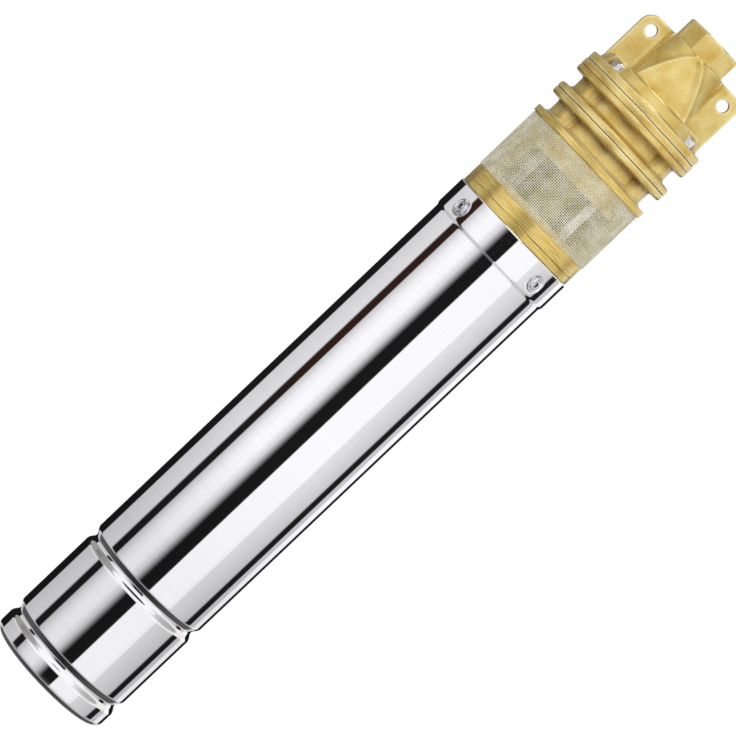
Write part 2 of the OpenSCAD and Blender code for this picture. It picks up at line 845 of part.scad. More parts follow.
module stator_winding() {
    bar_w = slot_w - 2 * slip_gap;
    color("peru") {
        for (i = [0:slot_count - 1]) rotate([0, 0, i * 360 / slot_count])
            translate([slot_in_r + slip_gap, -bar_w / 2, stack_z - cut])
                cube([slot_depth - 2 * slip_gap, bar_w, stack_len + 2 * cut]);
        for (z = [stack_z - end_turn_len, stack_top])
            tube(slot_out_r - slip_gap, slot_in_r + slip_gap, z, end_turn_len);
    }
}

module rotor_core() {
    color("slategray") difference() {
        tube(rotor_r, core_shaft_r + press_gap, stack_z, stack_len);
        for (i = [0:bar_count - 1]) around(bar_r, i * 360 / bar_count, stack_z - cut)
            cylinder(r = bar_d / 2 + press_gap, h = stack_len + 2 * cut);
    }
}

module rotor_cage() {
    ring_out = rotor_r - end_ring_step;
    color("lightgray") {
        for (i = [0:bar_count - 1]) around(bar_r, i * 360 / bar_count, stack_z - cut)
            cylinder(d = bar_d, h = stack_len + 2 * cut);
        for (z = [stack_z - end_ring_len, stack_top])
            tube(ring_out, ring_out - end_ring_w, z, end_ring_len);
    }
}

// Shaft steps: height where each begins, and its radius
shaft_steps = [
    [lower_bearing_z - shaft_tail, lower_bore / 2 - press_gap],
    [lower_bearing_z + lower_w, core_shaft_r - shaft_shoulder],
    [stack_z - end_ring_len, core_shaft_r], [stack_top + end_ring_len, collar_shaft_d / 2],
    [upper_bearing_z, upper_bore / 2 - press_gap], [oil_chamber_z, tip_r],
    [shaft_washer_z - nut_draw, nut_thread_d / 2]
];

module rotor_shaft() {
    last = len(shaft_steps) - 1;
    profile = [for (i = [0:last]) each [
        [shaft_steps[i][1], shaft_steps[i][0]],
        [shaft_steps[i][1], i == last ? shaft_top : shaft_steps[i + 1][0]]]];
    color("silver") difference() {
        rotate_extrude() polygon(concat([[0, shaft_steps[0][0]]], profile, [[0, shaft_top]]));
        key_blocks(slip_gap);
        tube(upper_bore, circlip_r, upper_seat_top, circlip_t + slip_gap);
    }
}

// Two key blocks on the front of the shaft, grown by a play
module key_blocks(play) {
    for (z = [first_under, second_under])
        translate([-key_w / 2 - play, -tip_r + key_seat - key_h - play, z - play])
            cube([key_w + 2 * play, key_h + 2 * play, impeller_t + 2 * play]);
}

module impeller_keys() {
    color("silver") key_blocks(0);
}

module shaft_circlip() {
    color("dimgray") difference() {
        tube(circlip_r + circlip_w, circlip_r + press_gap, upper_seat_top, circlip_t);
        sector(-circlip_open, circlip_open, upper_bore, upper_seat_top - cut, circlip_t + 2 * cut);
    }
}

module upper_bracket() {
    color("goldenrod") difference() {
        union() {
            pocket(upper_nose_r, nose_z, nose_len + cut);
            pocket(spigot_r, spigot_z, spigot_len + rim_h);
            rim_disc(shell_r, shell_len, rim_h, edge_break, edge_break);
        }
        hole(upper_od / 2 + press_gap, nose_z, nose_len - cut);
        hole(upper_bore / 2 + circlip_w, upper_seat_top, shoulder_t);
        pocket(lip_seal_d / 2 + press_gap, lip_seal_z, lip_seal_h);
        pocket(oil_chamber_d / 2, oil_chamber_z, oil_chamber_top - oil_chamber_z);
        hole(seat_d / 2 - seat_ledge, oil_chamber_top, shoulder_t);
        pocket(seat_d / 2 + press_gap, seat_z, seat_h + cut);
        seal_groove(spigot_z + bracket_ring_rise);
        for (a = band_angles) outward(a, screw_z)
            translate([0, 0, band_r - band_spot - band_screw_len - cut])
                cylinder(r = band_screw_d / 2 + press_gap, h = band_screw_len + 2 * cut);
        around(gland_r, back, nose_z) cylinder(d = cable_d, h = rim_top);
        around(plug_r, right, spigot_z - cut) cylinder(r = plug_d / 2 + press_gap, h = rim_top);
        for (a = bracket_angles) around(bracket_screw_r, a, rim_top - bracket_screw_len)
            cylinder(r = bracket_screw_d / 2 + press_gap, h = bracket_screw_len + cut);
    }
}

module bracket_seal_ring() {
    color("black") seal_ring(shell_ri - ring_section / 2 - press_gap / 2, spigot_z + bracket_ring_rise,
                             ring_section - press_gap);
}

module lip_seal() {
    color("black") tube(lip_seal_d / 2, upper_bore / 2 + bush_gap, lip_seal_z, lip_seal_h);
}

module oil_plug() {
    color("goldenrod") around(plug_r, right, 0) {
        translate([0, 0, rim_top - plug_len]) cylinder(d = plug_d, h = plug_len + cut);
        hexagon(plug_af, rim_top, plug_head_h);
    }
}

module band_screws() {
    color("silver")
    for (a = band_angles) outward(a, screw_z)
        translate([0, 0, band_r - band_spot]) difference() {
            union() {
                translate([0, 0, -band_screw_len]) cylinder(d = band_screw_d, h = band_screw_len);
                intersection() {
                    cylinder(d = band_head_d, h = band_head_h);
                    translate([0, 0, band_head_h - band_head_d]) sphere(r = band_head_d);
                }
            }
            translate([0, 0, band_head_h / 3])
                cylinder(r = band_socket / 2 / cos(30), h = band_head_h, $fn = 6);
        }
}

module seal_seat() {
    color("white") tube(seat_d / 2, tip_r + shaft_play, seat_z, seat_h);
}

module seal_face() {
    color("black") tube(seal_d / 2, tip_r + bellows_wall + 2 * press_gap, face_z, face_h);
}

module seal_bellows() {
    color("black") tube(tip_r + press_gap + bellows_wall, tip_r + press_gap, face_z, face_h + spring_len);
}

// Point of the spring's wire: turn is 0 to spring_turns, side is an angle around the wire
function coil_point(turn, side) =
    let (r = seal_d / 2 - spring_wire / 2 - 0.4 + spring_wire / 2 * cos(side),
         rise = spring_len - spring_wire - 2 * press_gap)
    [r * cos(360 * turn), r * sin(360 * turn),
     spring_z + spring_wire / 2 + press_gap + rise * turn / spring_turns + spring_wire / 2 * sin(side)];

module seal_spring() {
    steps = spring_turns * 20;
    sides = 8;
    points = [for (i = [0:steps], j = [0:sides - 1]) coil_point(i / 20, j * 360 / sides)];
    walls = [for (i = [0:steps - 1], j = [0:sides - 1]) each [
        [i * sides + j, i * sides + (j + 1) % sides, (i + 1) * sides + j],
        [i * sides + (j + 1) % sides, (i + 1) * sides + (j + 1) % sides, (i + 1) * sides + j]]];
    start = [[for (j = [0:sides - 1]) sides - 1 - j]];
    end = [[for (j = [0:sides - 1]) steps * sides + j]];
    color("silver") polyhedron(points, concat(walls, start, end));
}

module seal_collar() {
    color("silver") tube(seal_d / 2, tip_r + press_gap, collar_z, collar_h);
}

// Slot through a casting along the shaft, from one stage's channel to the next
module port(side, z, h) {
    intersection() {
        tube(port_out_r, port_in_r, z, h);
        sector(side * stripper_half, side * port_end, 2 * port_out_r, z, h);
    }
}

// Way for the cable at the back of a flange
module cable_notch(z, h) {
    around(cable_way_r, back, z - cut) cylinder(d = cable_way_d, h = h + 2 * cut);
    translate([-cable_way_d / 2, cable_way_r, z - cut]) cube([cable_way_d, mid_flange_d, h + 2 * cut]);
}

module suction_bracket() {
    wall_h = block_z - ring_top;
    color("goldenrod") difference() {
        union() {
            rim_disc(shell_r, rim_top, suction_ring_h, edge_break, edge_break);
            tube(rebate_r, rebate_r - screen_lip_w, ring_top - cut, cut + screen_lip_h);
            pocket(hub_d / 2, ring_top, wall_h + cut);
            difference() {
                tube(rebate_r, rebate_r - side_wall, ring_top - cut, wall_h + 2 * cut);
                for (a = [0, back])
                    sector(a - window_half, a + window_half, shell_d, ring_top, wall_h);
            }
            pocket(rebate_r, block_z, block_h + cut);
            rim_disc(suction_flange_d / 2, flange_under, suction_flange_t, edge_break, edge_break);
        }
        hole(hub_ri, rim_top, block_z - rim_top - cut);
        hole(spacer_r + shaft_play, rim_top, suction_top - rim_top);
        port(1, block_z - cut, suction_top - block_z + 2 * cut);
        for (a = bolt_angles) around(bolt_r, a, bolt_bottom - cut)
            cylinder(r = bolt_d / 2 + press_gap, h = bolt_grip + 2 * cut);
        for (a = bracket_angles) around(bracket_screw_r, a, rim_top - cut)
            cylinder(r = bracket_screw_d / 2 + slip_gap, h = suction_ring_h + 2 * cut);
        around(gland_r, back, rim_top - cut)
            cylinder(r = gland_d / 2 + press_gap, h = suction_ring_h + 2 * cut);
        around(plug_r, right, rim_top - cut) cylinder(d = plug_af * 1.3, h = suction_ring_h + 2 * cut);
        around(cable_way_r, back, block_z - cut)
            cylinder(d = cable_hole_d, h = suction_top - block_z + 2 * cut);
    }
}

module bracket_screws() {
    color("silver") for (a = bracket_angles) around(bracket_screw_r, a, ring_top)
        socket_screw(bracket_screw_d, bracket_screw_len + suction_ring_h - cut, bracket_screw_d * 1.7,
                     bracket_screw_d, bracket_screw_d * 0.8);
}

module intake_screen() {
    color("darkkhaki") tube(screen_r, screen_ri, ring_top, screen_h);
}

module cable_gland() {
    color("goldenrod") around(gland_r, back, 0) difference() {
        union() {
            pocket(gland_d / 2, rim_top, suction_ring_h + cut);
            hexagon(gland_af, gland_hex_z, gland_hex_h);
            pocket(gland_thread_d / 2, gland_thread_z, gland_thread_h);
        }
        hole(cable_d / 2, rim_top, gland_top - rim_top);
        pocket(cable_d / 2 + gland_bush_wall + press_gap, gland_hex_z + gland_hex_h / 2, gland_top);
    }
}

module gland_bush() {
    bush_z = gland_hex_z + gland_hex_h / 2;
    color("black") around(gland_r, back, 0)
        tube(cable_d / 2 + gland_bush_wall, cable_d / 2 - cable_squeeze, bush_z, gland_top - bush_z);
}

module gland_nut() {
    color("goldenrod") around(gland_r, back, 0) difference() {
        hexagon(gland_af + 2, gland_nut_z, gland_nut_h);
        hole(cable_hole_d / 2, gland_nut_z, gland_nut_h);
        translate([0, 0, gland_nut_z - cut])
            cylinder(r = gland_thread_d / 2 + press_gap, h = gland_top - gland_nut_z + press_gap + cut);
    }
}

// Neck of a casing: round wall with front and back recesses, and the bolt bosses
module neck(z, h) {
    difference() {
        pocket(neck_d / 2, z, h);
        for (a = [0, back]) difference() {
            sector(a - recess_half, a + recess_half, neck_d, z - cut, h + 2 * cut);
            pocket(recess_d / 2, z - cut, h + 2 * cut);
        }
    }
    for (a = bolt_angles) around(bolt_r, a, z) cylinder(d = boss_d, h = h);
}

// Impeller chamber with its channel, open on one face of a casting
module chamber(z, h) {
    pocket(chamber_r, z, h);
    difference() {
        pocket(channel_r, z, h);
        sector(-stripper_half, stripper_half, 2 * channel_r, z - cut, h + 2 * cut);
    }
}

module bolt_holes(z, h) {
    for (a = bolt_angles) around(bolt_r, a, z - cut) cylinder(r = bolt_hole_r, h = h + 2 * cut);
}

module lower_casing() {
    neck_h = lower_casing_h - half_flange_t;
    color("goldenrod") difference() {
        union() {
            neck(suction_top, neck_h + cut);
            rim_disc(mid_flange_d / 2, suction_top + neck_h, half_flange_t, flange_round, edge_break);
        }
        chamber(lower_casing_top - chamber_depth, chamber_depth + cut);
        port(1, suction_top - cut, lower_casing_h);
        hole(bush_r + press_gap, suction_top, lower_casing_h);
        bolt_holes(suction_top, lower_casing_h);
        cable_notch(suction_top, lower_casing_h);
    }
}

module upper_casing() {
    neck_z = upper_casing_z + half_flange_t;
    neck_h = upper_casing_h - half_flange_t - top_flange_t;
    flange_z = neck_z + neck_h;
    color("goldenrod") difference() {
        union() {
            rim_disc(mid_flange_d / 2, upper_casing_z, half_flange_t, edge_break, flange_round);
            neck(neck_z - cut, neck_h + 2 * cut);
            rim_disc(top_flange_d / 2, flange_z, top_flange_t, flange_round, edge_break);
        }
        chamber(upper_casing_z - cut, chamber_depth + cut);
        chamber(upper_casing_top - chamber_depth, chamber_depth + cut);
        port(-1, upper_casing_z, upper_casing_h);
        hole(bush_r + press_gap, upper_casing_z, upper_casing_h);
        bolt_holes(upper_casing_z, upper_casing_h);
        cable_notch(upper_casing_z, upper_casing_h);
        tube(mid_flange_d, top_flange_d / 2 - trim_line, flange_z + top_flange_t / 2, trim_line);
    }
}

module stage_gaskets() {
    color("dimgray") for (z = [lower_casing_top, upper_casing_top]) difference() {
        tube(head_flange_d / 2 - 0.6, channel_r, z, gasket_t);
        bolt_holes(z, gasket_t);
        cable_notch(z, gasket_t);
    }
}

module casing_bushes() {
    color("darkgoldenrod") {
        tube(bush_r, spacer_r + bush_gap, suction_top, lower_casing_h - chamber_depth);
        tube(bush_r, spacer_r + bush_gap, upper_casing_z + chamber_depth,
             upper_casing_h - 2 * chamber_depth);
    }
}

// Disc with short vanes cut into both sides of its rim, keyed to the shaft
module impeller(z) {
    difference() {
        tube(impeller_r, tip_r + press_gap, z, impeller_t);
        for (i = [0:vane_count - 1]) rotate([0, 0, (i + 0.5) * 360 / vane_count])
            for (level = [z - cut, z + impeller_t - vane_depth])
                translate([impeller_r - vane_len, -vane_gap / 2, level])
                    cube([vane_len + cut, vane_gap, vane_depth + cut]);
        translate([-key_w / 2 - slip_gap, -tip_r + key_seat - key_h - slip_gap, z - cut])
            cube([key_w + 2 * slip_gap, key_h + slip_gap, impeller_t + 2 * cut]);
    }
}

module first_impeller() {
    color("gold") impeller(first_under);
}

module second_impeller() {
    color("gold") impeller(second_under);
}

module shaft_spacers() {
    low = collar_z + collar_h;
    color("silver") {
        tube(spacer_r, tip_r + press_gap, low, first_under - low);
        tube(spacer_r, tip_r + press_gap, first_over, second_under - first_over);
    }
}

module impeller_washer() {
    color("silver") tube(shaft_washer_d / 2, nut_thread_d / 2 + slip_gap, shaft_washer_z, shaft_washer_t);
}

module impeller_nut() {
    color("silver") difference() {
        hexagon(nut_af, nut_z, nut_h);
        hole(nut_thread_d / 2 + press_gap, nut_z, nut_h);
    }
}

// Cone with flat sides and a leaning front and back
module dome() {
    intersection() {
        translate([0, 0, ledge_z - cut]) cylinder(d1 = dome_base_d, d2 = dome_top_d, h = dome_h + cut);
        translate([-dome_side, 0, ledge_z - cut]) rotate([90, 0, 90]) linear_extrude(2 * dome_side)
            polygon([[-dome_front_base, 0], [dome_front_base, 0], [dome_front_top, dome_h + cut],
                     [-dome_front_top, dome_h + cut]]);
    }
}

// One plate across the head that makes both lugs
module lugs() {
    half = lug_span / 2;
    h = dome_top - head_flange_top + cut;
    translate([0, lug_t / 2, head_flange_top - cut]) rotate([90, 0, 0]) linear_extrude(lug_t)
        difference() {
            union() {
                translate([-half, 0]) square([lug_span, h - lug_corner]);
                translate([-half + lug_corner, 0]) square([lug_span - 2 * lug_corner, h]);
                for (side = [-1, 1])
                    translate([side * (half - lug_corner), h - lug_corner]) circle(lug_corner);
            }
            for (side = [-1, 1])
                translate([side * lug_hole_span / 2, h - lug_hole_drop]) circle(d = lug_hole_d);
        }
}

module spout() {
    intersection() {
        translate([0, 0, dome_top - cut]) rotate([0, 0, 22.5])
            cylinder(r = spout_r, h = spout_h + cut, $fn = 8);
        union() {
            pocket(spout_r + cut, dome_top - cut, spout_h + cut - spout_chamfer);
            translate([0, 0, top_z - spout_chamfer])
                cylinder(r1 = spout_r + 0.2, r2 = spout_r - spout_chamfer * 1.5, h = spout_chamfer);
        }
    }
}

module outlet_head() {
    outlet_r = outlet_d / 2;
    outlet_z = top_z - outlet_len;
    color("goldenrod") difference() {
        union() {
            rim_disc(head_flange_d / 2, head_z, head_flange_t, edge_break, edge_break);
            translate([0, 0, head_flange_top - cut])
                cylinder(d1 = skirt_base_d, d2 = skirt_top_d, h = skirt_h + cut);
            dome();
            lugs();
            spout();
        }
        chamber(head_z - cut, chamber_half - gasket_t / 2 + cut);
        port(1, head_z, head_room_z - head_z + cut);
        hole(shaft_washer_d / 2 + nut_room, head_floor_z, head_floor_t);
        pocket(port_out_r - dome_wall, head_room_z, head_room_top - head_room_z);
        translate([0, 0, head_room_top - cut])
            cylinder(r1 = dome_side - dome_wall, r2 = outlet_r, h = outlet_z - head_room_top + cut);
        hole(outlet_r, outlet_z, outlet_len);
        translate([0, 0, top_z - outlet_chamfer])
            cylinder(r1 = outlet_r, r2 = outlet_r + outlet_chamfer + 0.01, h = outlet_chamfer + 0.01);
        bolt_holes(head_z, head_flange_t);
        for (a = bolt_angles) around(bolt_r, a, head_flange_top) cylinder(d = spot_d, h = dome_h);
        cable_notch(head_z, ledge_z - head_z);
    }
}

module head_bolts() {
    len = head_flange_top + washer_t - bolt_bottom;
    color("silver") for (a = bolt_angles) around(bolt_r, a, 0) {
        translate([0, 0, bolt_bottom]) cylinder(d = bolt_d, h = len + cut);
        hexagon(bolt_af, head_flange_top + washer_t, bolt_head_h);
    }
}

module bolt_washers() {
    color("silver") for (a = bolt_angles) around(bolt_r, a, 0)
        tube(washer_d / 2, bolt_d / 2 + slip_gap, head_flange_top, washer_t);
}

motor_shell();
bottom_cover();
cover_seal_ring();
oil_diaphragm();
clamp_ring();
clamp_screws();
lower_bracket();
wave_spring();
lower_bearing_outer();
lower_bearing_inner();
lower_bearing_balls();
lower_bearing_cage();
stator_core();
stator_winding();
rotor_core();
rotor_cage();
rotor_shaft();
upper_bracket();
bracket_seal_ring();
upper_bearing_outer();
upper_bearing_inner();
upper_bearing_balls();
upper_bearing_cage();
shaft_circlip();
lip_seal();
oil_plug();
band_screws();
seal_seat();
seal_face();
seal_bellows();
seal_spring();
seal_collar();
suction_bracket();
bracket_screws();
intake_screen();
cable_gland();
gland_bush();
gland_nut();
lower_casing();
upper_casing();
stage_gaskets();
casing_bushes();
first_impeller();
second_impeller();
impeller_keys();
shaft_spacers();
impeller_washer();
impeller_nut();
outlet_head();
head_bolts();
bolt_washers();
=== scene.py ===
"""Looks of a borehole submersible pump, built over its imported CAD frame."""

import bmesh
import bpy
import numpy as np
from bpy.props import FloatProperty, FloatVectorProperty, IntProperty, PointerProperty
from mathutils import Matrix, Vector


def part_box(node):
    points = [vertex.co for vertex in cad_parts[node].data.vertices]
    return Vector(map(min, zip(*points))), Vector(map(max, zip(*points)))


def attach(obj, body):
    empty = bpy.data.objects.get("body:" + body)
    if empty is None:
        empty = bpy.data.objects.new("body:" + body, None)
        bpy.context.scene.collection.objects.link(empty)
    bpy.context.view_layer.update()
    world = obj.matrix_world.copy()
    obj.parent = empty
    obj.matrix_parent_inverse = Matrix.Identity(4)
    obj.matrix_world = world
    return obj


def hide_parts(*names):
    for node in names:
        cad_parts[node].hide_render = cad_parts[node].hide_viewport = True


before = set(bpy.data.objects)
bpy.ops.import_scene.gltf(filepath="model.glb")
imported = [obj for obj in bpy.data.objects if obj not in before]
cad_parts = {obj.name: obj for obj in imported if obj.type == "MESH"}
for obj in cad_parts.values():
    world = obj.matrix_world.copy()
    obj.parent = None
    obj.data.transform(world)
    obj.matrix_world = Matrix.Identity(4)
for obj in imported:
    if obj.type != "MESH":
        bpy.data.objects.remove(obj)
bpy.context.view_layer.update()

bl_info = {
    "name": "Borehole submersible pump",
    "version": (1, 0, 0),
    "blender": (4, 5, 0),
    "location": "3D View > Sidebar > Pump",
    "description": "Dresses the CAD model of a borehole pump with finished pieces and materials",
    "category": "Add Mesh",
}

MM = 0.001

# Heights of the pieces, from the frame
TUBE_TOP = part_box("motor_shell")[1].z
SCREEN_LOW, SCREEN_HIGH = (corner.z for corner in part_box("intake_screen"))
LOWER_LOW, LOWER_HIGH = (corner.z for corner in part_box("lower_casing"))
UPPER_LOW, UPPER_HIGH = (corner.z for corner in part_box("upper_casing"))
HEAD_LOW, HEAD_HIGH = (corner.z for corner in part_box("outlet_head"))
WASHER_LOW, WASHER_HIGH = (corner.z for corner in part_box("bolt_washers"))
BOLT_LOW, BOLT_HIGH = (corner.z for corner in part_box("head_bolts"))

# Ends of the weave, just inside the screen's own
WEAVE_LOW, WEAVE_HIGH = SCREEN_LOW + 0.3 * MM, SCREEN_HIGH - 0.3 * MM

# Heights of the tube's rows where it is plain
PLAIN_ROWS = np.array([40, 60, 110, 150, 190, 230, 270, 310, 350, 380]) * MM

# Degrees between the castings' columns, plain and fine, and half the fine part's angle at a bolt and at the cable way
EVEN_STEP, FINE_STEP, BOLT_SPAN, WAY_SPAN = 1.0, 0.3, 12, 7.2

# A radius beyond the whole pump, where nothing cuts into a casting
NO_LIMIT = 1.0

# Corners of a casting's outline: the side of the round's centre (out, up) and the round's two angles in degrees
CORNERS = {"lower edge": (-1, 1, -90, 0), "upper edge": (-1, -1, 0, 90), "foot": (1, 1, 270, 180),
           "under": (1, -1, 180, 90)}

# Noise values between which a colour and a roughness go from their one end to their other
MOTTLE_SPAN = (0.32, 0.68)
DULL_SPAN = (0.3, 0.7)

# Detail of a roughness' noise, and the number of rays that look for corners and edges
DULL_DETAIL, OPEN_SAMPLES = 3.0, 8

# Sockets of a colour mix, whose names aren't unique: its factor, its two colours and its result
MIX_FACTOR, MIX_BASE, MIX_STAIN, MIX_RESULT = 0, 6, 7, 2


def linear(code):
    """Linear RGB of an sRGB hex colour: v / 12.92 up to 0.04045, else ((v + 0.055) / 1.055) to the power 2.4."""
    v = np.array([int(code[i:i + 2], 16) for i in (1, 3, 5)]) / 255
    return tuple(float(x) for x in np.where(v <= 0.04045, v / 12.92, ((v + 0.055) / 1.055) ** 2.4))


def length(name, millimetres, description):
    """A length property, written in millimetres and kept in metres."""
    return FloatProperty(name=name, description=description, default=millimetres * MM, precision=5, unit="LENGTH")


def turn(name, degrees, description):
    """An angle property, written in degrees."""
    return FloatProperty(name=name, description=description, default=float(np.radians(degrees)), subtype="ANGLE")


def colour(name, code, description):
    """A colour property, written as an sRGB hex value."""
    return FloatVectorProperty(name=name, description=description, default=linear(code), size=3, min=0, max=1,
                               subtype="COLOR")


class TubeSettings(bpy.types.PropertyGroup):
    """Sizes and colours of the motor tube and its band screws"""

    radius: length("Tube radius", 46.75, "Outer radius of the plain tube")
    wall: length("Wall", 1.2, "Thickness of the sheet")
    foot_round: length("Foot round", 5, "Outer radius of the rolled-in foot")
    lip_radius: length("Lip radius", 33.75, "Inner radius of the foot's lip")
    lower_groove: length("Lower groove", 18.6, "Height of the lower rolled groove")
    upper_groove: length("Upper groove", 87, "Height of the upper rolled groove")
    groove_depth: length("Groove depth", 2.8, "How far the grooves are rolled in")
    groove_half: length("Groove half width", 6.2, "Half the width of a groove at the tube's face")
    band_rise: length("Band rise", 1, "How far the top band stands out")
    band_length: length("Band length", 20.5, "Height of the top band")
    band_taper: length("Band taper", 3.2, "Height over which the tube widens into the band")
    screw_drop: length("Screw drop", 12.7, "Distance of the band screws below the tube's top")
    screw_clock: turn("Screw clock", 39, "Angle of the first band screw from the front")
    screw_count: IntProperty(name="Screw count", description="Band screws round the tube", default=4)
    dimple_depth: length("Dimple depth", 1, "Depth of the seat pressed in under each screw")
    dimple_radius: length("Dimple radius", 4.6, "Radius of the flat of the seat")
    dimple_slope: length("Dimple slope", 1.9, "Width of the slope round the seat")
    head_radius: length("Screw head radius", 4.2, "Radius of a band screw's head")
    head_height: length("Screw head height", 2.2, "Height of a band screw's head")
    socket: length("Socket", 3.6, "Width across the flats of a band screw's socket")
    shank_radius: length("Shank radius", 2.5, "Radius of a band screw's shank")
    shank_length: length("Shank length", 9, "Length of a band screw under its head")
    pale: colour("Pale steel", "#FBFBFD", "Polished steel where it is cleanest")
    grey: colour("Grey steel", "#F6F6FA", "Polished steel where the polish is thinner")


class BrassSettings(bpy.types.PropertyGroup):
    """Sizes and colours of the brass castings and their bolts"""

    flange: length("Flange radius", 49, "Radius of the half flanges between the casings")
    top_flange: length("Top flange radius", 48.9, "Radius of the upper casing's top flange")
    head_flange: length("Head flange radius", 48.4, "Radius of the outlet head's flange")
    half_flange: length("Half flange", 4.7, "Thickness of each half of the middle flange")
    thick_flange: length("Thick flange", 9.8, "Thickness of the upper casing's top flange")
    head_flange_t: length("Head flange thickness", 6, "Thickness of the outlet head's flange")
    flange_round: length("Flange round", 2, "Round on the outer flange edges")
    split_round: length("Split round", 0.35, "Small round at the split lines")
    trim_groove: length("Trim groove", 0.6, "Depth of the turned line round the top flange")
    neck: length("Neck radius", 41.3, "Radius of the necks between the flanges")
    recess: length("Recess radius", 37, "Radius of the recesses at the front and the back of the necks")
    recess_turn: turn("Recess half angle", 46, "Half the angle that a recess spans")
    inner: length("Inner radius", 33, "Inner radius of the castings")
    fillet: length("Neck fillet", 1.6, "Fillet between a neck and the flange above it")
    foot_fillet: length("Neck foot fillet", 3.4, "Fillet between a neck and the flange below it")
    bolt_circle: length("Bolt circle", 37.5, "Radius of the circle of the head bolts")
    bolt_turn: turn("Bolt angle", 56, "Angle of the head bolts from the front and the back")
    boss: length("Boss radius", 6, "Radius of the bosses round the bolts")
    way_circle: length("Cable way circle", 40.5, "Distance of the cable way's middle from the axis")
    way_half: length("Cable way half width", 4.7, "Half the width of the cable way at the back")
    skirt_low: length("Skirt foot radius", 44, "Radius of the head's skirt at the flange")
    skirt_high: length("Skirt top radius", 41, "Radius of the head's skirt at its ledge")
    skirt_height: length("Skirt height", 8.6, "Height of the head's skirt")
    ledge_round: length("Ledge round", 2, "Round on the upper edge of the head's skirt")
    pocket: length("Bolt pocket radius", 7, "Radius of the pockets cut in the skirt for the bolt heads")
    dome_low: length("Dome foot radius", 34, "Radius of the dome at the ledge")
    dome_high: length("Dome top radius", 22.9, "Radius of the dome under the outlet")
    dome_side: length("Dome half width", 23, "Half the width between the dome's sides")
    dome_height: length("Dome height", 36.2, "Height of the dome above the ledge")
    arch_half: length("Arch half width", 20.9, "Half the width of the front facet's arch at the ledge")
    arch_height: length("Arch height", 34.8, "Height of the front facet's arch above the ledge")
    arch_rim: length("Arch rim", 1.4, "Height of the rounded rim along the arch")
    arch_rim_half: length("Arch rim half width", 1.9, "Half the width of the rounded rim")
    spout: length("Outlet across flats", 39.6, "Width across the flats of the eight-sided outlet")
    spout_chamfer: length("Outlet chamfer", 1.2, "Chamfer on the outlet's rim")
    bore: length("Bore radius", 15.15, "Inner radius of the outlet's thread")
    thread_depth: length("Thread depth", 1.48, "Depth of the outlet's pipe thread")
    thread_pitch: length("Thread pitch", 2.309, "Pitch of the outlet's pipe thread")
    thread_length: length("Thread length", 18.8, "Length of the outlet's pipe thread")
    lug_half: length("Lug half thickness", 4, "Half the thickness of a lifting lug")
    lug_reach: length("Lug reach", 42.9, "Distance of a lug's outer edge from the axis")
    lug_round: length("Lug round", 9, "Round on a lug's upper corner")
    lug_hole: length("Lug hole radius", 4.2, "Radius of the hole in a lug")
    lug_hole_x: length("Lug hole distance", 33.3, "Distance of the hole from the axis")
    lug_hole_drop: length("Lug hole drop", 9.9, "Distance of the hole below the lug's top")
    lug_flare: length("Lug flare", 5, "Fillet where a lug runs into the dome")
    lug_edge: length("Lug edge", 1.1, "Round along a lug's edges")
    bolt_flats: length("Bolt across flats", 10, "Width across the flats of the head bolts")
    bolt_radius: length("Bolt radius", 3, "Radius of a bolt's shank")
    washer_radius: length("Washer radius", 5.8, "Outer radius of a washer")
    pale: colour("Pale brass", "#E9D58E", "Brass where the casting was wiped clean")
    warm: colour("Warm brass", "#CEA94B", "Brass where it has begun to dull")
    # The brown brass is painted shade, put in corners and under overhangs
    brown: colour("Brown brass", "#6E4416", "Brass in corners that the dip didn't reach")
    # The worn brass is partly edge wear and partly a painted highlight
    worn: colour("Worn brass", "#F6E8B8", "Brass along edges that the tumbling wore")


class ScreenSettings(bpy.types.PropertyGroup):
    """Sizes and colours of the woven intake screen"""

    radius: length("Screen radius", 46.8, "Radius of the weave's middle")
    wire: length("Wire radius", 0.3, "Radius of a wire")
    uprights: IntProperty(name="Upright wires", description="Wires round the screen, an even number", default=228)
    rings: IntProperty(name="Ring wires", description="Wires from the foot of the screen to its top", default=38)
    pale: colour("Pale wire", "#F6F3E2", "Wire where it is bright")
    dull: colour("Dull wire", "#DCD5B4", "Wire where it is dull")


class StageSettings(bpy.types.PropertyGroup):
    """Camera and studio"""

    distance: length("Camera distance", 2560, "Distance of the camera from the pump's axis")
    eye: length("Eye height", 450, "Height of the camera")
    aim: length("Aim height", 287.9, "Height of the point in the middle of the picture")
    side: length("Aim side", -1.26, "How far right of the axis that point is")
    azimuth: turn("Azimuth", -5, "Where the camera stands, from the front towards the right")
    roll: turn("Roll", 46.48, "How far the camera is turned about its own axis")
    lens: FloatProperty(name="Focal length", description="Focal length in millimetres", default=195.3,
                        unit="CAMERA")
    ring: length("Studio ring", 1300, "Radius of the ring of panels that the metal mirrors")
    ceiling: length("Studio ceiling", 1014, "Radius of the dark panel above the pump")
    bowl_middle: length("Bowl middle", 60, "Height of the middle of the bowl that closes the ring below")
    bowl_edge: turn("Bowl edge", 56, "How far below level the bowl's dark part ends in front")
    bowl_rim: turn("Bowl rim", 22, "How far below level it ends at the back")
    bowl_blur: turn("Bowl blur", 4, "Half the angle over which the dark part fades out")
    floor: colour("Floor", "#F6F6F5", "Pale studio floor")


def add(tree, kind, props=(), values=(), links=()):
    """Adds one node, with its own settings, its inputs' values and the outputs that feed its inputs."""
    node = tree.nodes.new(kind)
    for key, value in dict(props).items():
        setattr(node, key, value)
    for key, value in dict(values).items():
        node.inputs[key].default_value = value
    for key, source in dict(links).items():
        tree.links.new(source, node.inputs[key])
    return node


def cleared(owner):
    """The node tree of a material or a world, emptied."""
    owner.use_nodes = True
    owner.node_tree.nodes.clear()
    return owner.node_tree


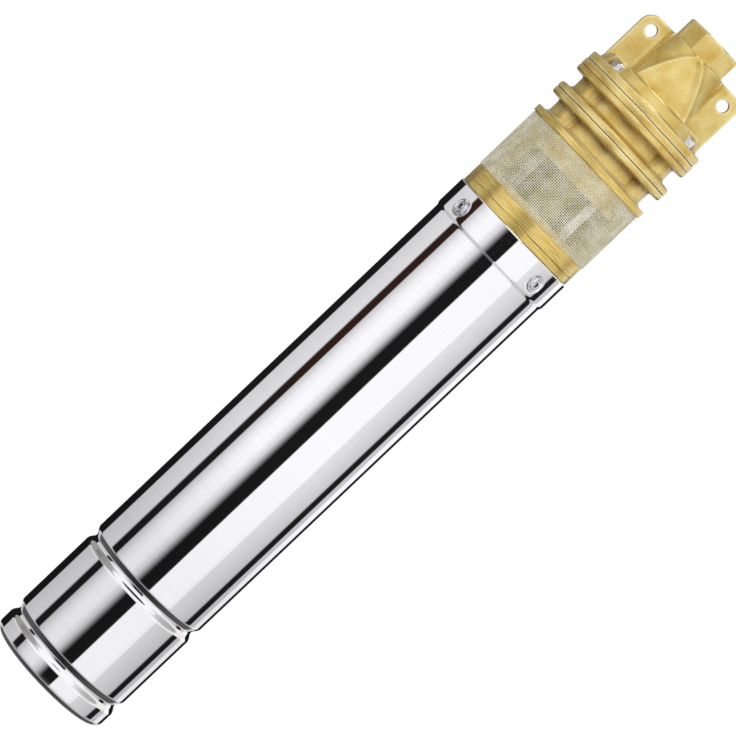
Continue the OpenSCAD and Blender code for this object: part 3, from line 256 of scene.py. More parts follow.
def surface(name, metallic, **values):
    """A new material with one Principled shader: the material, its tree, the shader and the Object coordinates."""
    material = bpy.data.materials.new(name)
    tree = cleared(material)
    shader = add(tree, "ShaderNodeBsdfPrincipled", values={"Metallic": metallic, **values})
    add(tree, "ShaderNodeOutputMaterial", links={"Surface": shader.outputs["BSDF"]})
    place = add(tree, "ShaderNodeTexCoord").outputs["Object"]
    return material, tree, shader, place


def patches(tree, place, size, detail):
    """Noise in patches of one size in metres."""
    noise = add(tree, "ShaderNodeTexNoise", values={"Scale": 1 / size, "Detail": detail}, links={"Vector": place})
    return noise.outputs["Fac"]


def mottle(tree, place, shader, size, low, high, detail=4.0):
    """Base colour that wanders between two colours in patches of one size in metres."""
    ramp = add(tree, "ShaderNodeValToRGB", links={"Fac": patches(tree, place, size, detail)})
    for element, position, tone in zip(ramp.color_ramp.elements, MOTTLE_SPAN, (low, high)):
        element.position = position
        element.color = (*tone, 1)
    tree.links.new(ramp.outputs["Color"], shader.inputs["Base Color"])


def dulling(tree, place, shader, size, low, high):
    """Roughness that wanders between two values in patches of one size in metres."""
    span = add(tree, "ShaderNodeMapRange",
               values={"From Min": DULL_SPAN[0], "From Max": DULL_SPAN[1], "To Min": low, "To Max": high},
               links={"Value": patches(tree, place, size, DULL_DETAIL)})
    tree.links.new(span.outputs["Result"], shader.inputs["Roughness"])


def relief(tree, place, shader, size, height, detail=2.0):
    """Fine unevenness of the surface, of one grain size and height in metres."""
    bump = add(tree, "ShaderNodeBump", values={"Strength": 1.0, "Distance": height},
               links={"Height": patches(tree, place, size, detail)})
    tree.links.new(bump.outputs["Normal"], shader.inputs["Normal"])


def weather(tree, shader, reach, stain, low, high, lean=0.0, **sides):
    """Tints the base colour where less than a share of the view within a reach is open: painted shade in corners,
    holes and under overhangs, and on outer edges a paler tone that is partly a painted highlight.

    Outside the surface these places are corners and holes, inside it they are outer edges. The view is about the
    normal, which leans up by adding a share of +Z to it, so that the painted shade gathers under what overhangs.
    """
    normal = add(tree, "ShaderNodeNewGeometry").outputs["Normal"]
    leant = add(tree, "ShaderNodeVectorMath", {"operation": "ADD"}, {1: (0, 0, lean)}, {0: normal})
    facing = add(tree, "ShaderNodeVectorMath", {"operation": "NORMALIZE"}, links={0: leant.outputs["Vector"]})
    clear = add(tree, "ShaderNodeAmbientOcclusion", {"samples": OPEN_SAMPLES, **sides}, {"Distance": reach},
                {"Normal": facing.outputs["Vector"]})
    share = add(tree, "ShaderNodeMapRange", values={"From Min": low, "From Max": high, "To Min": 1, "To Max": 0},
                links={"Value": clear.outputs["AO"]})
    base = shader.inputs["Base Color"].links[0].from_socket
    mix = add(tree, "ShaderNodeMix", {"data_type": "RGBA"}, {MIX_STAIN: (*stain, 1)},
              {MIX_FACTOR: share.outputs["Result"], MIX_BASE: base})
    tree.links.new(mix.outputs[MIX_RESULT], shader.inputs["Base Color"])


def drawn(tree, place, across, along):
    """Coordinates that draw a pattern out along the axis' rings: one size round the axis, one along it, in metres."""
    squeeze = (1.0, 1.0, across / along)
    return add(tree, "ShaderNodeMapping", values={"Scale": squeeze}, links={"Vector": place}).outputs["Vector"]


def mirror_buffed_stainless():
    """Drawn stainless tube, buffed to a mirror.

    The eye sees hard stripes of the studio, a shade of milky polish that runs round the tube, and a slow waviness.
    The buffing lines are about 0.02 mm apart on the real tube and are drawn 1.5 mm apart so that they show.
    """
    s = bpy.context.scene.pump_tube
    material, tree, shader, place = surface("mirror_buffed_stainless", 1.0)
    lines = drawn(tree, place, 40 * MM, 1.5 * MM)
    mottle(tree, lines, shader, 40 * MM, s.grey, s.pale)
    dulling(tree, lines, shader, 40 * MM, 0.025, 0.055)
    relief(tree, place, shader, 55 * MM, 0.05 * MM, 1.0)
    return material


def pickled_stainless_wire():
    """Drawn stainless wire, woven and lightly pickled: dull bright metal with a warm grey cast from wire to wire."""
    s = bpy.context.scene.pump_screen
    material, tree, shader, place = surface("pickled_stainless_wire", 0.35)
    mottle(tree, place, shader, 9 * MM, s.dull, s.pale)
    dulling(tree, place, shader, 2 * MM, 0.3, 0.45)
    return material


def bright_turned_stainless():
    """Turned stainless: bright, with soft cutter marks (0.1 mm, drawn 2 mm) and painted shade, near black, in holes
    and corners.
    """
    material, tree, shader, place = surface("bright_turned_stainless", 1.0)
    mottle(tree, place, shader, 4 * MM, linear("#DADCDE"), linear("#EEEFF1"))
    dulling(tree, place, shader, 2 * MM, 0.12, 0.2)
    # Painted shade: near black where little of the view within 4 mm is open, in sockets, holes and corners
    weather(tree, shader, 4 * MM, linear("#141416"), 0.25, 0.6, only_local=True)
    return material


def bright_dipped_cast_brass():
    """Sand-cast brass, tumbled and bright dipped.

    The eye sees a soft satin gold with paler and warmer patches of a centimetre or two, edges that the tumbling wore
    pale and that carry a painted highlight, painted brown shade in corners and under overhangs, and a faint grain
    from the sand (0.3 mm, drawn 0.9 mm).
    """
    s = bpy.context.scene.pump_brass
    material, tree, shader, place = surface("bright_dipped_cast_brass", 0.6)
    mottle(tree, place, shader, 16 * MM, s.warm, s.pale)
    # Paler outer edges: tumbling wear, partly a painted highlight
    weather(tree, shader, 2.4 * MM, s.worn, 0.5, 0.95, inside=True, only_local=True)
    # Painted shade: brown in corners and under overhangs, with the view leant up
    weather(tree, shader, 8 * MM, s.brown, 0.22, 0.72, lean=0.8)
    dulling(tree, place, shader, 6 * MM, 0.24, 0.36)
    relief(tree, place, shader, 0.9 * MM, 0.014 * MM)
    return material


def lathe_turned_brass():
    """Brass casting with turned faces: the same gold, brighter, with lathe lines round it (0.15 mm, drawn 0.6 mm)."""
    s = bpy.context.scene.pump_brass
    material, tree, shader, place = surface("lathe_turned_brass", 0.7)
    lines = drawn(tree, place, 12 * MM, 0.6 * MM)
    mottle(tree, lines, shader, 12 * MM, s.warm, s.pale, 2.0)
    dulling(tree, lines, shader, 12 * MM, 0.15, 0.24)
    return material


def plain(name, metallic, colours, dull, line=None, grain=None, **values):
    """A material of mottled colour and wandering roughness, with sizes in millimetres.

    colours and dull are each the size of a patch and the two ends. line is the spacing of lines round the axis, along
    which both are drawn out, and grain the size and the height of an unevenness.
    """
    material, tree, shader, place = surface(name, metallic, **values)
    size, low, high = colours
    patch, smooth, rough = dull
    where = drawn(tree, place, size * MM, line * MM) if line else place
    mottle(tree, where, shader, size * MM, linear(low), linear(high))
    dulling(tree, where, shader, patch * MM, smooth, rough)
    if grain:
        relief(tree, place, shader, grain[0] * MM, grain[1] * MM)
    return material


def oiled_spring_steel():
    """Pressed spring steel: grey, with a faint blue cast and thin oil film."""
    return plain("oiled_spring_steel", 1.0, (6, "#8E9296", "#A9ADB1"), (3, 0.28, 0.42))


def zinc_plated_steel():
    """Zinc plated steel: bright grey with the faint yellow and blue bloom of the passivation."""
    return plain("zinc_plated_steel", 1.0, (5, "#B9B8A8", "#C6CBD2"), (2, 0.24, 0.38))


def honed_bearing_steel():
    """Ground and honed bearing steel: very bright, with fine grinding lines round it (0.02 mm, drawn 0.4 mm)."""
    return plain("honed_bearing_steel", 1.0, (8, "#C4C7CA", "#DADDE0"), (8, 0.08, 0.16), line=0.4)


def varnished_core_sheets():
    """Stacked electrical sheets, 0.5 mm each, under baked varnish: dark brown-grey with a line at every sheet."""
    return plain("varnished_core_sheets", 0.8, (30, "#4A4642", "#6E6862"), (30, 0.4, 0.6), line=0.5)


def stove_painted_cast_iron():
    """Grey iron casting under black stoving paint: half dull, with the sand's grain (0.4 mm, drawn 0.8 mm)."""
    return plain("stove_painted_cast_iron", 0.0, (5, "#26282A", "#35383A"), (3, 0.42, 0.6), grain=(0.8, 0.06),
                 IOR=1.5)


def turned_tin_bronze():
    """Turned tin bronze: redder than the brass, with lathe lines round it (0.1 mm, drawn 0.5 mm)."""
    return plain("turned_tin_bronze", 1.0, (10, "#B9884E", "#CFA067"), (10, 0.18, 0.3), line=0.5)


def enamelled_copper_wire():
    """Enamelled copper wire, 0.7 mm thick, dipped in varnish: glossy red-brown with a line at every turn.

    The varnish lies over the turns, so its roughness isn't drawn out along them.
    """
    varnish = {"Coat Weight": 0.5, "Coat Roughness": 0.15}
    material, tree, shader, place = surface("enamelled_copper_wire", 0.7, **varnish)
    lines = drawn(tree, place, 14 * MM, 0.7 * MM)
    mottle(tree, lines, shader, 14 * MM, linear("#7A3B1D"), linear("#B4622F"))
    dulling(tree, place, shader, 4 * MM, 0.28, 0.4)
    return material


def pressure_cast_aluminium():
    """Pressure-cast aluminium: pale dull grey with flow marks of a few millimetres."""
    return plain("pressure_cast_aluminium", 1.0, (4, "#A9ABAD", "#C2C4C6"), (2, 0.35, 0.5))


def moulded_nitrile_rubber():
    """Moulded nitrile rubber: matt black with a grey bloom and the mould's fine grain (0.2 mm, drawn 0.5 mm)."""
    return plain("moulded_nitrile_rubber", 0.0, (4, "#171717", "#242424"), (2, 0.55, 0.75), grain=(0.5, 0.02),
                 IOR=1.52)


def moulded_nylon():
    """Moulded nylon: slightly translucent ivory with soft flow marks."""
    body = {"IOR": 1.53, "Subsurface Weight": 0.1}
    return plain("moulded_nylon", 0.0, (5, "#D9CFB4", "#E6DDC6"), (2, 0.35, 0.5), **body)


def lapped_alumina():
    """Lapped alumina: cold white, dense and glossy, with the faintest grey clouds."""
    return plain("lapped_alumina", 0.0, (3, "#E6E6E2", "#F1F1EE"), (2, 0.12, 0.22), IOR=1.76)


def resin_bound_carbon():
    """Resin-bound carbon: grey-black with a soft graphite shine in fine grains (0.05 mm, drawn 0.4 mm)."""
    return plain("resin_bound_carbon", 0.0, (0.4, "#1F2022", "#2E3033"), (2, 0.3, 0.45), IOR=1.8)


def pressed_fibre_sheet():
    """Pressed fibre sheet: dull oiled tan with short fibres (0.3 mm wide, drawn 0.8 mm)."""
    return plain("pressed_fibre_sheet", 0.0, (0.8, "#7A6340", "#94794E"), (2, 0.7, 0.9), IOR=1.45)


def finish(maker):
    """The material that a function makes, made once."""
    return bpy.data.materials.get(maker.__name__) or maker()


def ease(t):
    """Smooth step from 0 at t = 0 to 1 at t = 1: t squared times (3 - 2 t)."""
    t = np.clip(t, 0, 1)
    return t * t * (3 - 2 * t)


def soft_min(a, b, width):
    """The lesser of a and b, with the corner between them rounded over a width."""
    return np.minimum(a, b) - np.maximum(width - np.abs(a - b), 0) ** 2 / (4 * width)


def soft_max(a, b, width):
    """The greater of a and b, with the corner between them rounded over a width."""
    return -soft_min(-a, -b, width)


def around(r, z, phi):
    """Points at radius r and height z round the axis; the angle phi runs from the front (-Y) towards +X."""
    r, z, phi = np.broadcast_arrays(r, z, phi)
    return np.stack([r * np.sin(phi), -r * np.cos(phi), z], -1)


def arc(r, z, radius, start, end, steps):
    """Points (r, z) on a circle of that radius about the centre (r, z), from one angle in degrees to another."""
    a = np.radians(np.linspace(start, end, steps))
    return np.stack([r + radius * np.cos(a), z + radius * np.sin(a)], -1)


def make_piece(name, grids, material, wrap=True, sharp=38.0):
    """One piece from like grids of points, an array (copies, rows, columns, 3) whose columns close on themselves.

    Each cell of a grid becomes a quad. With wrap the last row joins the first; without it the end rows are poles.
    Points that coincide are merged, faces turned outwards, and edges sharper than an angle in degrees kept sharp.
    """
    merge = 0.001 * MM
    copies, rows, columns = grids.shape[:3]
    i = np.arange(rows if wrap else rows - 1)[:, None]
    j = np.arange(columns)[None]
    k, m = (i + 1) % rows, (j + 1) % columns
    cells = np.stack([i * columns + j, i * columns + m, k * columns + m, k * columns + j], -1).reshape(-1, 4)
    faces = (np.arange(copies)[:, None, None] * rows * columns + cells).reshape(-1, 4).astype(np.int32)
    mesh = bpy.data.meshes.new(name)
    mesh.vertices.add(copies * rows * columns)
    mesh.vertices.foreach_set("co", grids.reshape(-1).astype(np.float32))
    mesh.loops.add(faces.size)
    mesh.loops.foreach_set("vertex_index", faces.reshape(-1))
    mesh.polygons.add(len(faces))
    mesh.polygons.foreach_set("loop_start", np.arange(0, faces.size, 4, dtype=np.int32))
    mesh.update(calc_edges=True)
    work = bmesh.new()
    work.from_mesh(mesh)
    bmesh.ops.remove_doubles(work, verts=work.verts, dist=merge)
    bmesh.ops.recalc_face_normals(work, faces=work.faces)
    work.to_mesh(mesh)
    work.free()
    mesh.shade_smooth()
    mesh.set_sharp_from_angle(angle=float(np.radians(sharp)))
    mesh.materials.append(material)
    piece = bpy.data.objects.new(name, mesh)
    bpy.context.scene.collection.objects.link(piece)
    return piece


def build(name, grids, maker, slot, node, **options):
    """Makes a piece that rides on the pump's body, has a finish, and stands for a CAD node, which it hides. The slot
    is not used.
    """
    piece = make_piece(name, grids, finish(maker), **options)
    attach(piece, "pump_body")
    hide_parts(node)


def circle(step):
    """Angles once round, a step in degrees apart."""
    return np.radians(np.arange(0, 360, step))


def polygon(across, sides, theta):
    """Radius of an even-sided shape of that width across its flats, at an angle from the middle of a flat."""
    half = np.pi / sides
    return across / 2 / np.cos((theta + half) % (2 * half) - half)


def tube_grid(s):
    """Rolled tube as a closed outline carried round the axis.

    The outline runs along the lip, round the foot's quarter circle, up the outer wall and back down the inner one.
    The outer wall is the tube's radius less a raised cosine at each groove, plus a smooth step into the band, less a
    smooth round seat at each screw.
    """
    def wall(z):
        """Outer radius at a height, before the screw seats."""
        reach = [np.clip(np.abs(z - g) / s.groove_half, 0, 1) for g in (s.lower_groove, s.upper_groove)]
        rolled = sum(0.5 + 0.5 * np.cos(np.pi * t) for t in reach)
        band = ease((z - TUBE_TOP + s.band_length + s.band_taper) / s.band_taper)
        return s.radius - s.groove_depth * rolled + s.band_rise * band

    def span(middle, half, steps):
        """Even heights across a groove or the band."""
        return np.linspace(middle - half, middle + half, steps)

    edge, groove_reach, short, foot_gap, rim_gap = 0.5 * MM, 7 * MM, 0.6 * MM, 0.3 * MM, 0.7 * MM
    band_middle = TUBE_TOP - (s.band_length + s.band_taper) / 2
    band_reach = s.band_length / 2 + s.band_taper - short
    rise = np.unique(np.concatenate([
        PLAIN_ROWS, span(s.lower_groove, groove_reach, 35), span(s.upper_groove, groove_reach, 35),
        span(band_middle, band_reach, 40),
    ]))
    rise = rise[(rise > s.foot_round + foot_gap) & (rise < TUBE_TOP - rim_gap)]
    foot_centre = s.radius - s.foot_round
    rim = wall(np.array(TUBE_TOP))
    inside = np.minimum(wall(rise[::-2]), s.radius) - s.wall
    outline = np.concatenate([
        np.stack([np.linspace(s.lip_radius, foot_centre, 4), np.zeros(4)], -1)[:-1],
        arc(foot_centre, s.foot_round, s.foot_round, -90, 0, 9),
        np.stack([wall(rise), rise], -1),
        arc(rim - edge, TUBE_TOP - edge, edge, 0, 90, 4),
        [[s.radius - s.wall, TUBE_TOP]],
        np.stack([inside, rise[::-2]], -1),
        arc(foot_centre, s.foot_round, s.foot_round - s.wall, 0, -90, 6),
        [[s.lip_radius, s.wall]],
    ])
    phi = circle(0.9)[None]
    r, z = outline[:, :1], outline[:, 1:]
    pitch = 2 * np.pi / s.screw_count
    turned = (phi - s.screw_clock + pitch / 2) % pitch - pitch / 2
    off = np.hypot(turned * s.radius, z - TUBE_TOP + s.screw_drop)
    seat = s.dimple_depth * (1 - ease((off - s.dimple_radius) / s.dimple_slope))
    return around(r - seat, z, phi)[None]


def band_screw_grids(s):
    """Button-head screws: an outline carried round the screw's own axis, with the socket's rows cut to a hexagon."""
    h, head, edge, point_edge, socket_edge = s.head_height, s.head_radius, 0.2 * MM, 0.3 * MM, 0.35 * MM
    corner = s.socket / 2 / np.cos(np.pi / 6)
    # Shares of the head: the dome's width and height, the heights of the socket's floor and of its point
    crown, side, floor, point = 0.42, 0.5, 0.4, 0.34
    dome = arc(0, 0, 1, 0, 90, 8) * [crown * head, side * h] + [(1 - crown) * head, (1 - side) * h]
    shank = [[0, -s.shank_length], [s.shank_radius * 0.9, -s.shank_length],
             [s.shank_radius, -s.shank_length + point_edge], [s.shank_radius, 0], [head - edge, 0], [head, edge]]
    top = [[corner + socket_edge, h], [corner, h - edge], [corner, h * floor],
           [corner * 0.4, h * point], [0, h * point]]
    outline = np.concatenate([shank, dome, top])
    theta = circle(10)
    r = np.repeat(outline[:, :1], len(theta), 1)
    socket = np.arange(len(outline)) >= len(shank) + len(dome) + 1
    r[socket] = np.minimum(r[socket], polygon(s.socket, 6, theta)[None])
    out = outline[:, 1:] + s.radius + s.band_rise - s.dimple_depth
    clock = (s.screw_clock + np.arange(s.screw_count) * 2 * np.pi / s.screw_count)[:, None, None]
    across, up = r * np.cos(theta), r * np.sin(theta) + TUBE_TOP - s.screw_drop
    x = out * np.sin(clock) + across * np.cos(clock)
    y = -out * np.cos(clock) + across * np.sin(clock)
    return np.stack([x, y, np.broadcast_to(up, x.shape)], -1)


def wire_grids(path, outward, sideways, radius):
    """Wires along paths (wires, points, 3): a four-sided section in the outward and sideways directions."""
    corners = np.radians([0, 90, 180, 270])[:, None]
    section = np.cos(corners) * outward[..., None, :] + np.sin(corners) * sideways[..., None, :]
    return path[..., None, :] + section * radius


def upright_wire_grids(s):
    """Upright wires: straight lines round the screen that wave in and out by one wire radius, in turn at each ring.

    The weave is drawn about three times as coarse as the real one, so that it shows.
    """
    number = np.arange(s.uprights)[:, None]
    step = np.linspace(0, s.rings, 2 * s.rings + 1)[None]
    phi = number * 2 * np.pi / s.uprights + 0 * step
    r = s.radius + s.wire * np.cos(np.pi * (number + step - 0.5))
    path = around(r, WEAVE_LOW + (WEAVE_HIGH - WEAVE_LOW) * step / s.rings, phi)
    thickness = np.full(step.shape + (1, 1), s.wire)
    thickness[:, [0, -1]] = 0
    return wire_grids(path, around(1.0, 0.0, phi), around(1.0, 0.0, phi + np.pi / 2), thickness)


def ring_wire_grids(s):
    """Ring wires: circles that wave in and out by one wire radius, against the upright wires."""
    number = np.arange(s.rings)[:, None]
    step = np.arange(2 * s.uprights)[None] / 2
    phi = step * 2 * np.pi / s.uprights + 0 * number
    r = s.radius - s.wire * np.cos(np.pi * (number + step))
    path = around(r, WEAVE_LOW + (WEAVE_HIGH - WEAVE_LOW) * (number + 0.5) / s.rings, phi)
    return wire_grids(path, around(1.0, 0.0, phi), np.broadcast_to((0.0, 0.0, 1.0), path.shape), s.wire)


def bolt_angles(s):
    """Angles of the four head bolts from the front."""
    return np.array([s.bolt_turn, np.pi - s.bolt_turn, np.pi + s.bolt_turn, 2 * np.pi - s.bolt_turn])


def at_bolts(s, points):
    """Copies of points about the axis, one at each head bolt."""
    return around(s.bolt_circle, 0, bolt_angles(s))[:, None, None] + points[None]


def ring_angles(s):
    """Angles round the castings: even steps, with finer ones beside each bolt and the cable way."""
    spans = [(np.degrees(b), BOLT_SPAN) for b in bolt_angles(s)] + [(180.0, WAY_SPAN)]
    fine = [np.arange(c - w, c + w, FINE_STEP) % 360 for c, w in spans]
    return np.radians(np.unique(np.round(np.concatenate([np.arange(0, 360, EVEN_STEP), *fine]), 2)))


def from_bolt(s, phi, radius):
    """Where each angle's ray meets a circle about the nearest bolt: (near, far) radii, and whether it meets it."""
    gap = np.min(np.abs((phi[:, None] - bolt_angles(s) + np.pi) % (2 * np.pi) - np.pi), -1)
    across = s.bolt_circle * np.sin(gap)
    half = np.sqrt(np.maximum(radius ** 2 - across ** 2, 0))
    return s.bolt_circle * np.cos(gap) - half, s.bolt_circle * np.cos(gap) + half, across < radius


def cable_way(s, phi):
    """Radius that the cable way leaves at the back: the near side of a circle about its middle."""
    gap = (phi % (2 * np.pi)) - np.pi
    across = np.abs(s.way_circle * np.sin(gap))
    floor = s.way_circle * np.cos(gap) - np.sqrt(np.maximum(s.way_half ** 2 - across ** 2, 0))
    return np.where((across < s.way_half) & (np.abs(gap) < np.pi / 2), floor, NO_LIMIT)


def neck_radius(s, phi):
    """Radius of a neck: its circle, eased in to the recess at the front and back, with a boss round every bolt."""
    edge, blend = np.radians(1.6), 0.8 * MM
    side = np.abs((phi + np.pi / 2) % np.pi - np.pi / 2)
    r = s.recess + (s.neck - s.recess) * ease((side - s.recess_turn + edge) / (2 * edge))
    _, far, met = from_bolt(s, phi, s.boss)
    return soft_max(r, np.where(met, far, 0), blend)


def bend(key, corner, z, radius, steps=6, skip=0):
    """Rows of a rounded corner beside a named radius, at a height, less the first degrees of the round."""
    out, up, start, end = CORNERS[corner]
    return [(key, r, h) for r, h in arc(out * radius, z + up * radius, radius, start + skip, end, steps)]


def climb(key, low, high, steps):
    """Rows at even heights along a named radius."""
    return [(key, 0, z) for z in np.linspace(low, high, steps)]


def casting_grid(s, rows, radii, phi):
    """Casting as rows round the axis: each keeps an offset from a named radius, inside the cable way's radius."""
    r = np.stack([radii[key](z) * np.ones_like(phi) + offset for key, offset, z in rows])
    z = np.array([z for _, _, z in rows])[:, None]
    return around(np.minimum(r, cable_way(s, phi)), z, phi[None])[None]


def casing_radii(s, phi):
    """The named radii of the casings."""
    neck = neck_radius(s, phi)
    return {"inner": lambda z: s.inner, "neck": lambda z: neck, "flange": lambda z: s.flange,
            "top": lambda z: s.top_flange}


def lower_casing_grid(s):
    """Lower casing: a neck that flares at its foot and runs by a fillet into the lower half of the middle flange."""
    phi = ring_angles(s)
    low, high = LOWER_LOW, LOWER_HIGH
    under = high - s.half_flange
    rows = [
        ("inner", 0, low),
        *bend("neck", "foot", low, s.foot_fillet, 8),
        ("neck", 0, (low + under) / 2),
        *bend("neck", "under", under, s.fillet),
        *bend("flange", "lower edge", under, s.flange_round, 8),
        *bend("flange", "upper edge", high, s.split_round, 4),
        ("inner", 0, high),
    ]
    return casting_grid(s, rows, casing_radii(s, phi), phi)


def upper_casing_grid(s):
    """Upper casing: the upper half of the middle flange, a neck, and a thick flange with a turned line round it."""
    phi = ring_angles(s)
    low, high, groove, lip = UPPER_LOW, UPPER_HIGH, s.trim_groove, 0.3 * MM
    over, under = low + s.half_flange, high - s.thick_flange
    line = high - s.thick_flange / 2
    rows = [
        ("inner", 0, low),
        *bend("flange", "lower edge", low, s.split_round, 4),
        *bend("flange", "upper edge", over, s.flange_round, 8),
        *bend("neck", "foot", over, s.foot_fillet, 8),
        ("neck", 0, (over + under) / 2),
        *bend("neck", "under", under, s.fillet),
        *bend("top", "lower edge", under, s.flange_round, 8),
        *bend("top", "upper edge", line - groove / 2, lip, 3),
        ("top", -groove, line - groove / 4),
        ("top", -groove, line + groove / 4),
        *bend("top", "lower edge", line + groove / 2, lip, 3),
        *bend("top", "upper edge", high, s.split_round, 4),
        ("inner", 0, high),
    ]
    return casting_grid(s, rows, casing_radii(s, phi), phi)


def outlet_head_grid(s):
    """Outlet head: flange, skirt with bolt pockets, faceted dome, eight-sided outlet and threaded bore, in rows.

    The dome's radius is the softened least of a cone, two sides and two facets, which narrow with the 0.6th power of
    the height that is left and have a bell-shaped rim. The outlet's is that of eight flats and the rim's chamfer. The
    thread is a triangle wave that runs down one pitch a turn, faded out at both ends.
    """
    phi = ring_angles(s)
    floor = HEAD_LOW + s.head_flange_t
    ledge = floor + s.skirt_height
    shoulder = ledge + s.dome_height
    pocket, _, met = from_bolt(s, phi, s.pocket)
    pocket = np.where(met, pocket, NO_LIMIT)
    sine, cosine = np.abs(np.sin(phi)) + 1e-6, np.abs(np.cos(phi)) + 1e-6

    def skirt(z):
        """Cone of the skirt, cut by the bolt pockets."""
        return np.minimum(np.interp(z, [floor, ledge], [s.skirt_low, s.skirt_high]), pocket)

    def dome(z):
        """Cone and sides of the dome, and the facets that leave an arch with a rim."""
        power, side_blend, cone_blend = 0.6, 1.6 * MM, 0.4 * MM
        cone = np.interp(z, [ledge, shoulder], [s.dome_low, s.dome_high])
        left = max(ledge + s.arch_height - z, 0.3 * MM)
        half = s.arch_half * min(left / s.arch_height, 1) ** power
        facet = np.sqrt(cone ** 2 - half ** 2)
        sides = soft_min(s.dome_side / sine, facet / cosine, side_blend)
        away = (cone * sine - half) / np.hypot(1, power * half / left)
        rim = s.arch_rim * np.exp(-(away / s.arch_rim_half) ** 2)
        rim = rim * ease((ledge + s.arch_height + s.arch_rim_half - z) / s.arch_rim_half)
        return soft_min(sides, cone, cone_blend) + rim

    def spout(z):
        """Eight flats and the chamfer of the rim."""
        steep, corner_blend, chamfer_blend = 1.6, 0.6 * MM, 0.3 * MM
        corner = s.spout / 2 / np.cos(np.pi / 8)
        flats = soft_min(polygon(s.spout, 8, phi), corner + 0.1 * MM, corner_blend)
        chamfer = corner + chamfer_blend - steep * max(0, z - HEAD_HIGH + s.spout_chamfer)
        return soft_min(flats, chamfer, chamfer_blend)

    def thread(z):
        """Pipe thread in the bore, with flat crests and roots."""
        steep, crest = 1.2, 0.1
        wave = np.abs(((HEAD_HIGH - z) / s.thread_pitch + phi / (2 * np.pi)) % 1 - 0.5) * 2
        ends = ease((HEAD_HIGH - z) / s.thread_pitch) * ease((z - HEAD_HIGH + s.thread_length) / s.thread_pitch)
        return s.bore + s.thread_depth * np.clip(steep * wave - crest, 0, 1) * ends

    radii = {"inner": lambda z: s.inner, "flange": lambda z: s.head_flange, "skirt": skirt, "dome": dome,
             "spout": spout, "thread": thread, "bore": lambda z: s.bore}
    # Rounds and fillets, then the plain rows' distance from them, and the water chamber's roof and offset
    flange_edge, skirt_foot, dome_foot, dome_edge, spout_foot = 1 * MM, 0.8 * MM, 1 * MM, 0.7 * MM, 0.5 * MM
    clear, near, thread_row = 2 * MM, 1 * MM, 0.3 * MM
    roof, chamber = ledge - 3 * MM, -4.5 * MM
    thread_end = HEAD_HIGH - s.thread_length
    rows = [
        ("inner", 0, HEAD_LOW),
        *bend("flange", "lower edge", HEAD_LOW, s.split_round, 4),
        *bend("flange", "upper edge", floor, flange_edge, 5),
        *bend("skirt", "foot", floor, skirt_foot, 4),
        *climb("skirt", floor + clear, ledge - 2 * s.ledge_round, 4),
        *bend("skirt", "upper edge", ledge, s.ledge_round, 7),
        *bend("dome", "foot", ledge, dome_foot, 5),
        *climb("dome", ledge + clear, shoulder - near, 26),
        *bend("dome", "upper edge", shoulder, dome_edge, 5, skip=20),
        *bend("spout", "foot", shoulder, spout_foot, 4),
        *climb("spout", shoulder + near, HEAD_HIGH - s.spout_chamfer - 0.2 * MM, 5),
        *climb("spout", HEAD_HIGH - s.spout_chamfer, HEAD_HIGH, 5),
        ("bore", s.thread_depth + 0.3 * MM, HEAD_HIGH),
        ("bore", s.thread_depth * 0.5, HEAD_HIGH - near),
        *[("thread", 0, z) for z in np.arange(HEAD_HIGH - 1.4 * MM, thread_end, -thread_row)],
        ("bore", 0, thread_end - near),
        ("bore", 4 * MM, roof),
        ("inner", chamber, roof),
        ("inner", chamber, floor + clear),
        ("inner", 0, floor - near),
    ]
    return casting_grid(s, rows, radii, phi)


def lug_grids(s):
    """Lifting lugs: rings of rays from the hole to a plate's outline, carried round the plate's thickness.

    Along each ray the section runs over the front face, round the outer edge, back over the rear face and through the
    hole. The plate's half thickness grows by a quarter circle towards the dome.
    """
    below, sunk_in, overlap, lip = 0.3 * MM, 1 * MM, 4 * MM, 0.4 * MM
    floor = HEAD_LOW + s.head_flange_t
    top, bottom = floor + s.skirt_height + s.dome_height - below, floor - sunk_in
    centre_z = top - s.lug_hole_drop
    inner_x = s.dome_side - overlap
    a = circle(2)
    dx, dz = np.cos(a), np.sin(a)
    to_x = np.where(dx > 0, s.lug_reach - s.lug_hole_x, s.lug_hole_x - inner_x) / (np.abs(dx) + 1e-9)
    to_z = np.where(dz > 0, top - centre_z, centre_z - bottom) / (np.abs(dz) + 1e-9)
    reach = np.minimum(to_x, to_z)
    ox, oz = s.lug_reach - s.lug_round - s.lug_hole_x, top - s.lug_round - centre_z
    along = dx * ox + dz * oz
    to_round = along + np.sqrt(along ** 2 - ox ** 2 - oz ** 2 + s.lug_round ** 2)
    rounded = (to_round * dx > ox) & (to_round * dz > oz)
    reach = np.where(rounded, to_round, reach)[None]
    e = s.lug_edge
    face = np.linspace(0, 1, 24)[:, None]
    quarter = np.radians(np.linspace(0, 90, 5))[:, None]
    hole = s.lug_hole + lip
    over = hole + (reach - e - hole) * face
    edge_out, edge_in = reach - e + e * np.sin(quarter), hole - lip * np.sin(quarter) + 0 * reach
    drop_out, drop_in = (size * (1 - np.cos(quarter)) + 0 * reach for size in (e, lip))
    half_way = np.concatenate([edge_in[::-1], over[1:], edge_out[1:]])
    sunk = np.concatenate([drop_in[::-1], np.zeros_like(over[1:]), drop_out[1:]])
    x = s.lug_hole_x + half_way * dx
    z = centre_z + half_way * dz
    flare = np.clip((s.dome_side + s.lug_flare - x) / s.lug_flare, 0, 1)
    y = s.lug_half + s.lug_flare * (1 - np.sqrt(1 - flare ** 2)) - sunk
    right = np.concatenate([np.stack([x, -y, z], -1), np.stack([x, y, z], -1)[::-1]])
    return np.stack([right, right * [-1, 1, 1]])


